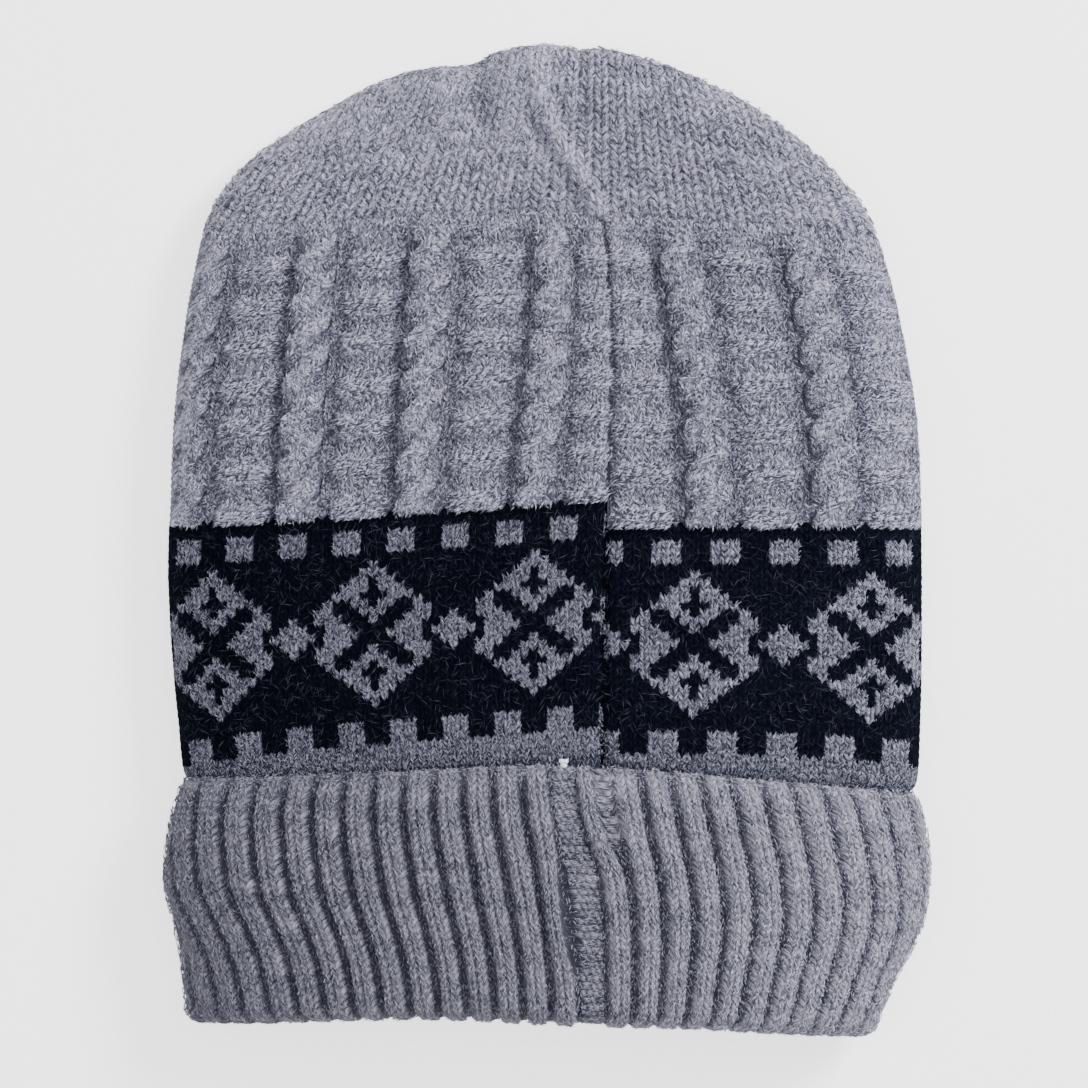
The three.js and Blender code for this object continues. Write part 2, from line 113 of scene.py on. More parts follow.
def from_seam(stitch: Array) -> Array:
    """Stitch as counted both ways from the seam."""
    return np.mod(np.asarray(stitch) + HALF_ROUND, STITCHES) - HALF_ROUND


def linked(name: str, data: bpy.types.ID) -> Piece:
    """New object of the scene for a mesh, a lamp or a camera."""
    made = bpy.data.objects.new(name, data)
    bpy.context.collection.objects.link(made)
    return made


@dataclass(frozen=True)
class Table:
    """Rows of named columns that are looked up smoothly along the first column."""

    columns: tuple[str, ...]
    rows: tuple[tuple[float, ...], ...]

    def at(self, place: Array, column: str) -> Array:
        """Smooth values of a column.

        Args:
            place: Where to look, in the unit of the first column.
            column: Name of the column.

        Returns:
            One value for each place.
        """
        data = np.array(self.rows)
        keys, values = data[:, 0], data[:, self.columns.index(column)]
        last = len(keys) - 1
        index = np.arange(last + 1)
        before, after = np.maximum(index - 1, 0), np.minimum(index + 1, last)
        slope = (values[after] - values[before]) / (keys[after] - keys[before])
        i = np.clip(np.searchsorted(keys, place, side="left") - 1, 0, last - 1)
        step = keys[i + 1] - keys[i]
        t = np.clip((place - keys[i]) / step, 0, 1)
        near = values[i] + slope[i] * step * t
        far = values[i + 1] - slope[i + 1] * step * (1 - t)
        straight = mix(values[i], values[i + 1], t)
        return mix(straight, mix(near, far, t), 2 * t * (1 - t))


SECTION = ("y", "left", "right", "seam", "low", "high")
BODY_SECTIONS = Table(
    SECTION,
    (
        (-76.0, -95.4, 95.4, 14.7, 5.5, 22.3),
        (-70.0, -95.2, 95.6, 14.8, 5.0, 21.8),
        (-68.4, -95.4, 96.6, 14.8, 4.7, 21.8),
        (-66.8, -95.6, 98.8, 14.9, 4.4, 21.7),
        (-65.0, -96.2, 99.6, 14.9, 4.0, 21.7),
        (-63.4, -97.7, 99.9, 14.9, 3.7, 21.7),
        (-59.0, -98.7, 100.3, 15.0, 3.0, 21.8),
        (-50.0, -99.5, 100.6, 15.0, 1.2, 22.0),
        (-38.0, -100.8, 101.0, 15.2, 0.0, 21.6),
        (-10.0, -102.5, 101.1, 15.6, 0.0, 21.0),
        (11.0, -101.9, 100.8, 16.8, 0.0, 20.6),
        (32.5, -101.1, 99.8, 17.3, 0.0, 20.2),
        (54.0, -98.7, 96.3, 17.4, 0.0, 19.4),
        (76.0, -94.9, 91.1, 16.2, 0.0, 18.2),
        (91.0, -90.0, 84.8, 13.5, 0.0, 17.2),
        (104.0, -79.3, 73.0, 6.0, 0.0, 16.2),
        (113.5, -64.9, 61.2, 0.8, 0.0, 15.4),
        (120.2, -53.0, 50.6, -1.0, 0.0, 14.8),
        (126.6, -38.6, 36.6, -2.4, 0.0, 14.2),
        (128.5, -23.0, 31.6, -2.7, 0.0, 14.1),
        (129.9, -18.4, 27.4, -2.9, 0.0, 14.0),
        (131.5, -15.2, 22.0, -2.4, 0.0, 13.9),
        (133.1, -8.2, 13.4, -1.0, 0.0, 13.8),
        (CAP_TOP, 1.5, 1.5, 1.5, 0.0, 13.8),
    ),
)
CUFF_SECTIONS = Table(
    SECTION,
    (
        (-136.0, -97.4, 89.6, 12.6, 0.0, 26.0),
        (-130.0, -97.5, 89.2, 12.6, 0.0, 27.0),
        (-124.0, -97.6, 91.6, 12.4, 0.0, 28.2),
        (-118.5, -98.1, 93.8, 12.2, 0.0, 28.8),
        (-113.0, -98.7, 96.8, 11.9, 0.0, 29.2),
        (-107.7, -99.8, 99.5, 11.5, 0.0, 29.4),
        (-102.3, -101.0, 101.4, 11.1, 0.0, 29.5),
        (-97.0, -102.4, 102.3, 10.6, 0.0, 29.4),
        (-91.0, -103.2, 103.0, 9.8, 0.0, 29.3),
        (-85.0, -103.0, 102.8, 8.6, 0.0, 28.9),
        (-80.0, -102.3, 102.3, 7.4, 0.0, 28.5),
        (-75.0, -101.5, 101.4, 6.4, 0.0, 28.0),
        (-70.0, -100.3, 100.1, 5.6, 0.0, 27.2),
        (-66.7, -99.5, 99.5, 5.2, 0.0, 26.3),
        (-63.5, -98.8, 99.1, 4.9, 0.0, 25.2),
        (-58.0, -98.0, 98.4, 4.6, 0.0, 24.8),
    ),
)
CROWN_COURSES = Table(
    ("row", "centre", "edge"),
    (
        (0, BAND_TOP, BAND_TOP),
        (22, 47.5, 46.0),
        (CABLE_ROWS, 87.0, 80.5),
        (48, 99.0, 89.5),
        (53, 110.5, 98.5),
        (58, 121.0, 109.5),
        (62, 128.5, 120.5),
        (64, 132.0, 127.5),
        (64.7, 133.5, 131.8),
        (CROWN_ROWS, CAP_TOP, CAP_TOP),
    ),
)
CUFF_TURNS = Table(
    ("y", "right", "left"),
    (
        (-136, 34.8, 116.6),
        (-124, 34.8, 116.6),
        (-108, 35.2, 117.8),
        (-97, 35.6, 119.3),
        (-86, 36.2, 120.0),
        (-72, 36.4, 121.0),
        (-58, 36.4, 121.2),
    ),
)
# Where five lines of stitches beside the seam of the cuff lie, row by row: the strip is narrow, and a
# valley opens right of its first rib and another left of the strip.
SEAM_KNOTS = (-4.5, -1.85, -1.3, 1.3, 4.15, 4.85, 7.5)
SEAM_LINES = Table(
    ("row", "rib_end", "strip_start", "strip_end", "valley_start", "valley_end"),
    (
        (0.0, -1.85, -1.4, 0.7, 2.5, 4.7),
        (7.0, -1.85, -1.35, 0.75, 2.7, 4.7),
        (11.0, -1.95, -1.3, 0.95, 3.4, 4.75),
        (14.0, -2.25, -1.2, 1.2, 4.0, 4.8),
        (18.0, -2.6, -1.0, 1.2, 4.15, 4.85),
        (23.0, -2.65, -0.9, 1.2, 4.15, 4.85),
        (28.0, -2.1, -1.0, 1.15, 4.15, 4.85),
        (32.0, -1.85, -1.05, 1.1, 4.15, 4.85),
        (41.0, -1.85, -1.05, 1.1, 4.15, 4.85),
    ),
)
CUFF_EDGES = Table(
    ("across", "lip", "fold"),
    (
        (-1.0, -64.3, -130.8),
        (-0.58, -62.9, -129.1),
        (-0.3, -61.8, -129.1),
        (0.04, -60.2, -130.7),
        (0.42, -62.4, -131.5),
        (0.64, -64.5, -132.6),
        (1.0, -67.5, -134.3),
    ),
)


@dataclass(frozen=True)
class Folds:
    """Stitches at which the cap turns over at its sides."""

    right: float
    left: float

    def pressed(self, stitch: Array, ease: float = 7.0, least: float = 0.2) -> Array:
        """Share of the relief that stands: all on the face, little at the folds and underneath."""
        away = from_seam(stitch)
        inset = np.minimum(self.right - away, away + STITCHES - self.left)
        return least + (1 - least) * smooth(inset / ease)


BODY_FOLDS = Folds(33.3, 111.7)
CUFF_FOLDS = Folds(35.6, 119.3)


class Form:
    """Outer form of a run of sections: it gives the place of a stitch, moved in by a depth."""

    SIDE_HEIGHT = 0.45
    UPPER_POWER, LOWER_POWER = 3.6, 7
    CLOSING = 14
    CONTACT = 0.15
    TURN, TURN_START = 9, 80
    PINCH, PINCH_WIDTH, PINCH_RUN = 0.34, 13, (10, 80, 125)
    STEPS, PER_STITCH, HEIGHTS = 120, 8, 620
    LEAST_HALF = 0.01

    def __init__(
        self, table: Table, folds: Folds, top: float = math.inf, turns: Table | None = None
    ) -> None:
        """Measures the sections once, on a fine net of heights and stitches.

        Args:
            table: The sections.
            folds: The side folds.
            top: Height at which the form closes.
            turns: Stitches at the side folds along Y, where they differ from height to height.
        """
        self.table, self.folds, self.top, self.turns = table, folds, top, turns
        self.pinch = self.PINCH
        self.low, self.high = table.rows[0][0], table.rows[-1][0]
        rows = [self._section(y) for y in np.linspace(self.low, self.high, self.HEIGHTS)]
        self.across, self.share = (np.array(net) for net in zip(*rows))

    def _section(self, y: float) -> tuple[Array, Array]:
        """Place across and share of the height of every stitch of the net at one height."""
        left, right, seam, low, high = (float(self.table.at(np.array(y), c)) for c in SECTION[1:])
        half = max(self.LEAST_HALF, (right - left) / 2)
        side = mix(low, high, self.SIDE_HEIGHT)
        x = np.cos(np.linspace(0, math.pi, self.STEPS + 1))
        powers = (self.UPPER_POWER, self.LOWER_POWER)
        upper, lower = (np.sqrt(np.maximum(0, 1 - np.abs(x) ** power)) for power in powers)
        over_arc, under_arc = arc(x * half, upper * (high - side)), arc(x * half, lower * (side - low))
        start = np.interp(((left + right) / 2 - seam) / half, -x, over_arc)
        first, last = self.folds_at(y)
        stitch = np.linspace(0, STITCHES, STITCHES * self.PER_STITCH + 1)
        from_left = mix(over_arc[-1], start, (stitch - last) / (STITCHES - last))
        over = np.where(stitch <= first, mix(start, 0, stitch / first), from_left)
        below = mix(0, under_arc[-1], (stitch - first) / (last - first))
        hidden = (stitch > first) & (stitch < last)
        across = np.where(hidden, np.interp(below, under_arc, x), np.interp(over, over_arc, x))
        above = np.interp(over, over_arc, upper)
        return across, np.where(hidden, -np.interp(below, under_arc, lower), above)

    def folds_at(self, y: float) -> tuple[float, float]:
        """Stitches at the right and the left side fold at one height."""
        if self.turns:
            return tuple(float(self.turns.at(np.array(y), c)) for c in ("right", "left"))
        near_top = (y - self.TURN_START) / (CAP_TOP - self.TURN_START)
        turn = self.TURN * float(smooth(near_top))
        return self.folds.right + turn, self.folds.left + turn

    def look(self, stitch: Array, y: Array) -> tuple[Array, Array]:
        """Place across, from -1 to 1, and signed share of the height of stitches."""
        i = np.clip((y - self.low) / (self.high - self.low), 0, 1) * (self.HEIGHTS - 1)
        j = wrapped(stitch) * self.PER_STITCH
        i0 = np.minimum(i.astype(int), self.HEIGHTS - 2)
        j0 = np.minimum(j.astype(int), STITCHES * self.PER_STITCH - 1)
        di, dj = i - i0, j - j0
        return tuple(
            mix(mix(net[i0, j0], net[i0 + 1, j0], di), mix(net[i0, j0 + 1], net[i0 + 1, j0 + 1], di), dj)
            for net in (self.across, self.share)
        )

    def drawn_in(self, stitch: Array, y: Array) -> Array:
        """Stitch whose even place a stitch takes where the cloth is drawn in at the seam."""
        start, full, end = self.PINCH_RUN
        pull = self.pinch * smooth((y - start) / (full - start)) * smooth((end - y) / (end - full))
        away = from_seam(stitch)
        return away * (1 - pull * bell(away, self.PINCH_WIDTH))

    def half(self, y: Array) -> Array:
        """Half of the width at a height."""
        return (self.table.at(y, "right") - self.table.at(y, "left")) / 2

    def middle(self, y: Array) -> Array:
        """Middle between both sides at a height."""
        return (self.table.at(y, "left") + self.table.at(y, "right")) / 2

    def across_mm(self, stitch: Array, y: Array) -> Array:
        """Place of stitches along X, in millimetres."""
        return self.middle(y) + self.look(stitch, y)[0] * self.half(y)

    def point(self, stitch: Array, y: Array, depth: Array) -> Array:
        """Places of stitches in metres.

        Args:
            stitch: Stitches from the seam.
            y: Their heights along Y, in millimetres.
            depth: How far they lie inside the outer form, in millimetres.

        Returns:
            An array of points, with the coordinates last.
        """
        across, share = self.look(self.drawn_in(stitch, y), y)
        low, high = self.table.at(y, "low"), self.table.at(y, "high")
        side = mix(low, high, self.SIDE_HEIGHT)
        height = np.where(share > 0, high - side, side - low)
        turn = np.clip((y - self.top + self.CLOSING) / self.CLOSING, 0, 1)
        slope = self.half(y - 0.5) - self.half(y + 0.5)
        steep = np.hypot(1, slope)
        drop = mix(turn, np.maximum(0, slope / steep), across**4)
        level = side + share * (height - depth) * np.sqrt(1 - turn**2)
        half = np.maximum(self.LEAST_HALF, self.half(y))
        x = self.middle(y) + across * np.maximum(0, half - depth / steep)
        z = np.where(level < self.CONTACT, 0, level)
        return np.stack([x, y - depth * drop, z], axis=-1) * MM


class Finish(Enum):
    """Material slots of the record for the knitting, which this script does not use."""

    GREY = "grey_knit"
    DARK = "dark_knit"
    RIB = "rib_knit"


# Lines of a net in one wale: their offset from its middle, and how far along the leg they are.
WALE_LINES = ((-0.5, 1.0), (-0.25, 0.5), (0.0, 0.0), (0.25, 0.5))


def net_lines(low: int, high: int) -> tuple[Array, Array]:
    """Lines of a net once round the cap, close together from one wale up to another.

    Args:
        low: First wale with close lines.
        high: First wale without them.

    Returns:
        The stitch of each line, and how far along the leg of its stitch it is.
    """
    rows = np.array([(n + offset, side) for n in range(low, high) for offset, side in WALE_LINES])
    before = np.arange(-HALF_ROUND, low - 0.6, COARSE)
    after = np.arange(HALF_ROUND, high - 0.4, -COARSE)[::-1]
    stitch = np.concatenate([before, rows[:, 0], after])
    side = np.concatenate([0 * before, rows[:, 1], 0 * after])
    return stitch[None, :], side[None, :]


def closed(*parts: Array) -> list[Array]:
    """Parts of a net, each with its first line again at its end."""
    return [np.concatenate([part, part[:1]]) for part in parts]


def texture_of(
    stitch: Array, row: Array, stitch_mm: float = STITCH_MM, row_mm: float = ROW_MM
) -> Array:
    """Texture coordinates of stitches and rows."""
    places = np.broadcast_arrays(stitch * stitch_mm / TEXTURE_MM, row * row_mm / TEXTURE_MM)
    return np.stack(places, axis=-1)


@dataclass
class Net:
    """A net of lines mapped onto the cap, from which a closed knitted shell is made."""

    name: str
    points: Array
    texture: Array
    shades: Array
    # Painted light of every line: painted shade in creases and between stitches, and painted highlights,
    # 1 where none is painted; it fills the blue channel of the yarn attribute.
    painted_light: Array

    def build(self) -> Piece:
        """The shell: a grid whose corners take the net's places, with its edges merged."""
        lines, columns = self.points.shape[:2]
        mesh = bpy.data.meshes.new(self.name)
        made = bmesh.new()
        bmesh.ops.create_grid(made, x_segments=columns - 1, y_segments=lines - 1, size=0.5)
        made.to_mesh(mesh)
        made.free()
        flat = np.empty(len(mesh.vertices) * 3, dtype=np.float32)
        mesh.vertices.foreach_get("co", flat)
        spot = flat.reshape(-1, 3) + 0.5
        i = np.rint(spot[:, 0] * (columns - 1)).astype(int)
        j = np.rint(spot[:, 1] * (lines - 1)).astype(int)
        mesh.vertices.foreach_set("co", self.points[j, i].astype(np.float32).ravel())
        corner = np.empty(len(mesh.loops), dtype=np.int32)
        mesh.loops.foreach_get("vertex_index", corner)
        uv = mesh.uv_layers.new(name="knit")
        uv.data.foreach_set("uv", self.texture[j, i][corner].astype(np.float32).ravel())
        ci, cj = i[corner].reshape(-1, 4).min(axis=1), j[corner].reshape(-1, 4).min(axis=1)
        shade = np.repeat(self.shades[cj, ci], 4, axis=0)
        painted_light = self.painted_light * np.ones((lines, columns))
        shade[:, 2] = painted_light[j, i][corner]
        layer = mesh.attributes.new("yarn", "FLOAT_COLOR", "CORNER")
        layer.data.foreach_set("color", shade.astype(np.float32).ravel())
        shell = bmesh.new()
        shell.from_mesh(mesh)
        bmesh.ops.remove_doubles(shell, verts=shell.verts, dist=1e-6)
        bmesh.ops.dissolve_degenerate(shell, edges=shell.edges, dist=1e-7)
        bmesh.ops.recalc_face_normals(shell, faces=shell.faces)
        for face in shell.faces:
            face.smooth = True
        shell.to_mesh(mesh)
        shell.free()
        return linked(self.name, mesh)


def leg_height(side: Array, row: Array) -> Array:
    """Relief of the legs of plain stitches, from 0 to 1, over the slanted rows."""
    across = 0.25 + 0.75 * np.sin(math.pi * np.clip(side, 0, 1)) ** 0.8
    across = np.where(side > 0.75, across - 0.1, across)
    along = np.abs(np.sin(math.pi * row)) ** 0.7
    return across * (0.2 + 0.8 * along)


def tones(rng: np.random.Generator, stitch: Array, row: Array) -> Array:
    """Uneven dye of the yarn at stitches and rows, which runs along the rows, from 0 to 1."""
    size = 64
    along = rng.random((size, 3, size))
    r = np.floor(row).astype(int) % size
    out = np.zeros(np.broadcast(stitch, row).shape)
    for k, (length, weight) in enumerate(((1.0, 0.4), (4.0, 0.35), (11.0, 0.25))):
        place = stitch / length + 0.37 * r
        i = np.floor(place).astype(int)
        out += weight * mix(along[r, k, i % size], along[r, k, (i + 1) % size], smooth(place - i))
    return out


def seam_relief(stitch: Array) -> Array:
    """Groove along the back seam with a low ridge on both sides of it."""
    away = np.abs(from_seam(stitch))
    return -1.7 * bell(away, 0.6) + 0.6 * bell(away - 2, 1)


def rise(stitch: Array) -> Array:
    """How far the rows have climbed towards the seam on its left."""
    along = (wrapped(stitch) - BODY_FOLDS.left) / (STITCHES - BODY_FOLDS.left)
    return 7.3 * np.clip(along, 0, 1) ** 1.3


def raised(stitch: Array, height: Array) -> Array:
    """Relief of the body that stands, with less of it at the side folds."""
    return np.where(height > 0, BODY_FOLDS.pressed(stitch) * height, height)


def shade_of(tone: Array, motif: Array) -> Array:
    """Colour values of the yarn attribute: tone, motif, and a channel for painted light, which is 1
    until a net fills in its painted shade.
    """
    ones = np.ones(np.broadcast(tone, motif).shape)
    return np.stack([tone * ones, motif * ones, ones, ones], axis=-1)


@dataclass
class Crown:
    """Crown of the cap: welted panels between cables, drawn in to a gathered top."""

    form: Form
    rng: np.random.Generator
    cable_count: int = 12
    first_cable: float = 10
    last_cable: float = 153.6
    strand_half: float = 1.5
    strand_height: float = 1.5
    strand_swing: float = 0.85
    twist_rows: float = 6
    welt: float = 0.85
    valley: float = 1.9
    hem_row: float = 44.6
    hem_depth: float = 1.7
    seen: tuple[int, int] = (-56, 48)

    def __post_init__(self) -> None:
        """Finds the pitch of the cables."""
        self.pitch = (self.last_cable - self.first_cable) / (self.cable_count - 1)

    def offset(self, stitch: Array) -> Array:
        """Stitches from the middle of the nearest cable."""
        place = wrapped(stitch) - self.first_cable
        k = np.clip(np.rint(place / self.pitch), 0, self.cable_count - 1)
        return place - k * self.pitch

    def place(self, stitch: Array, row: Array, height: Array) -> Array:
        """Points of the crown, in metres.

        Args:
            stitch: Stitches from the seam.
            row: Rows from the band.
            height: Height over the outer form, in millimetres.

        Returns:
            An array of points.
        """
        stitch, row, height = np.broadcast_arrays(stitch, row, height)
        centre, edge = CROWN_COURSES.at(row, "centre"), CROWN_COURSES.at(row, "edge")
        climb = rise(stitch) * (1 - smooth(row / 30))
        across, _ = self.form.look(stitch, np.minimum(centre, CAP_TOP - 1))
        y = np.minimum(CAP_TOP, mix(centre, edge, across**2) + climb)
        below = np.minimum(0, row) * ROW_MM
        return self.form.point(stitch, y + below, -raised(stitch, height))

    def welts(self, row: Array) -> Array:
        """Wave of the welts of the panels along the rows, from -1 to 1."""
        return np.cos(2 * math.pi * (row - 1) / self.twist_rows)

    def knitted(self, stitch: Array, row: Array) -> Array:
        """Share of plain knitting: 1 in knit rows, 0 in the purl rows of the panels."""
        panel = smooth((np.abs(self.offset(stitch)) - 2.6) / 0.8)
        return 1 - panel * (0.5 + 0.5 * self.welts(row)) * smooth((CABLE_ROWS - row) / 3)

    def body_height(self, stitch: Array, row: Array) -> Array:
        """Relief of the panels, the valleys beside the cables and the seam."""
        signed = self.offset(stitch)
        offset = np.abs(signed)
        deep = np.where(signed < 0, self.valley, 0.7 * self.valley)
        valley = -deep * bell(offset - 2.9, 1.1) * BODY_FOLDS.pressed(stitch, 4)
        under = -0.6 * smooth((2.4 - offset) / 0.6)
        welt = self.welt * self.welts(row) * smooth((offset - 3) / 1.2)
        puff = 0.5 * smooth((offset - 3) / 2.5)
        fade = smooth((CABLE_ROWS - row) / 4)
        return (valley + under + welt + puff) * fade + seam_relief(stitch)

    def strand(self, row: Array, second: bool) -> tuple[Array, Array]:
        """Offset in stitches and height of one strand of a cable along its rows."""
        turn = math.pi * row / self.twist_rows + (math.pi if second else 0)
        taper = 1 - 0.5 * smooth((row - CABLE_ROWS + 5) / 5)
        across = -self.strand_swing * np.tanh(1.8 * np.cos(turn))
        return across * taper, 0.85 * np.sin(turn) * taper

    def make_body(self) -> Piece:
        """Welted panels and the base under the cables, as one closed shell."""
        outer = np.arange(0, CABLE_ROWS * LINES_A_ROW + 1) / LINES_A_ROW
        inner = np.array([self.hem_row, 30, 15, 0.0])
        row = np.concatenate([inner, outer, [self.hem_row]])[:, None]
        kind = np.repeat([0, 1, 2], [len(inner), len(outer), 1])[:, None]
        stitch, side = net_lines(*self.seen)
        knitted = self.knitted(stitch, row)
        slant = LEG_SLANT * knitted * side * (kind == 1)
        slant[len(inner) - 1] = slant[len(inner)]
        place = row + slant
        shift = 0.5 * (np.floor(row) % 2) - 0.45 * (row - np.floor(row))
        loops = 0.4 + 0.6 * np.cos(2 * math.pi * (stitch + shift))
        dashes = loops * np.abs(np.sin(math.pi * row)) ** 0.8
        loop = mix(dashes, leg_height(side, row), knitted)
        body = self.body_height(stitch, place)
        hidden = np.where(kind == 0, -BODY_WALL, -self.hem_depth)
        points = self.place(stitch, place, np.where(kind == 1, body + 0.95 * loop, hidden))
        shade = shade_of(tones(self.rng, stitch + INSIDE, row + INSIDE), np.ones(1))
        # Painted shade: darker along the seam groove, between the legs of the stitches and in the
        # valleys beside the cables.
        seam = 1 - 0.7 * bell(from_seam(stitch), 0.45)
        depth = mix(0.85, 0.6, knitted)
        valley_shade = 0.44 + 0.56 * smooth((body + 1.7) / 2.9)
        painted_light = (1 - depth + depth * loop) * valley_shade * seam
        ring = closed(points, texture_of(stitch, row), shade, painted_light)
        return Net("crown_panels", *ring).build()

    def make_cables(self) -> Piece:
        """Cables: two strands of two wales each that cross every few rows, joined in one mesh."""
        joined = bmesh.new()
        for k in range(self.cable_count):
            centre = float(from_seam(self.first_cable + k * self.pitch))
            per_row = LINES_A_ROW if self.seen[0] < centre < self.seen[1] else 1
            for second in (False, True):
                piece = self._strand(centre, second, per_row)
                joined.from_mesh(piece.data)
                bpy.data.objects.remove(piece)
        mesh = bpy.data.meshes.new("crown_cables")
        joined.to_mesh(mesh)
        joined.free()
        return linked("crown_cables", mesh)

    def _strand(self, centre: float, second: bool, per_row: int) -> Piece:
        """One strand as a flattened tube that follows its twist over the crown."""
        under = np.array([1.25, 1.5, 1.75, 2]) * math.pi
        angle = np.concatenate([np.linspace(0, math.pi, 9), under])[None, :]
        side = np.array([1, 0.5, 0, 0.5, 1, 0.5, 0, 0.5, 1, 0, 0, 0, 1.0])[None, :]
        row = np.arange(0, (CABLE_ROWS - 1) * per_row + 1)[:, None] / per_row
        ends = np.ones_like(row)
        ends[0], ends[-1] = 0, 0
        is_top = (angle <= math.pi + 0.01).astype(float)
        place = row + LEG_SLANT * side * is_top * ends
        across, lift = self.strand(place, second)
        legs = leg_height(side, row) * is_top
        offset = across + self.strand_half * ends * np.cos(angle)
        upward = np.sin(angle)
        height = lift + (self.strand_height + 0.6 * legs) * upward * ends
        height = height + 0.15 - 0.5 * (1 - ends)
        points = self.place(centre + offset, place, np.maximum(height, -1.5))
        tone = tones(self.rng, centre + 0 * angle + side, row + INSIDE)
        # Painted shade: darker on the undersides of the strand, where it dives under the other strand,
        # and between its legs.
        rim_shade = 0.15 + 0.85 * smooth(upward * 1.5)
        painted_light = (0.45 + 0.55 * legs) * rim_shade * (0.25 + 0.75 * smooth((lift + 1.1) / 1.6))
        texture = texture_of(centre + across + angle * 0.8, row)
        return Net("strand", points, texture, shade_of(tone, np.ones(1)), painted_light).build()

    def rope_height(self, stitch: Array, row: Array) -> Array:
        """Relief with the cables: the higher of the two strands inside one, the panels outside."""
        offset = self.offset(stitch)
        found = self.body_height(stitch, row)
        for second in (False, True):
            across, lift = self.strand(row, second)
            share = np.clip(1 - ((offset - across) / self.strand_half) ** 2, 0, None)
            rope = lift + self.strand_height * np.sqrt(share)
            found = np.where(share > 0, np.maximum(found, rope), found)
        return found

    def rope_lean(self, stitch: Array, row: Array) -> Array:
        """How far the upper strand of a cable leans from upright, in radians."""
        rise_here = np.where(np.sin(math.pi * row / self.twist_rows) > 0, 1, -1)
        step = 0.1
        moved = self.strand(row + step, False)[0] - self.strand(row, False)[0]
        slope = moved / step * STITCH_MM / ROW_MM * rise_here
        return np.where(np.abs(self.offset(stitch)) < 2.3, np.arctan(slope), 0)

    def make_fibres(self, fibres: "Fibres", count: int) -> Piece:
        """Fibres over the crown: steep on plain stitches, leaning on the raised purl rows."""
        stitch, row = fibres.spots((-48, 34), (0, CABLE_ROWS + 0.6), count)
        purl = self.rng.random(count) < 1.3 * (1 - self.knitted(stitch, row))
        lean = self.rope_lean(stitch, row)
        angle = np.where(purl, fibres.PURL_ANGLE, fibres.leg_angle(stitch) - lean)
        height = self.rope_height(stitch, row)
        roped = (np.abs(self.offset(stitch)) < 2.2) & (row < CABLE_ROWS - 3)
        # Painted shade on the fibres: darker in the valleys and at the edges of the strands, and a
        # little lighter towards the top of the cables.
        rope_shade = 0.2 + 0.8 * smooth((height - 0.3) / 1.3)
        valley_shade = np.where(roped, rope_shade, smooth((height + 2.1) / 2.8))
        shade = fibres.shades(np.ones(count), 0.56 + 0.48 * valley_shade + 0.05 * row / CABLE_ROWS)
        parts = fibres.scatter(self.place, height, (stitch, row), angle)
        return fibres.make("crown_fibres", *parts, shade)


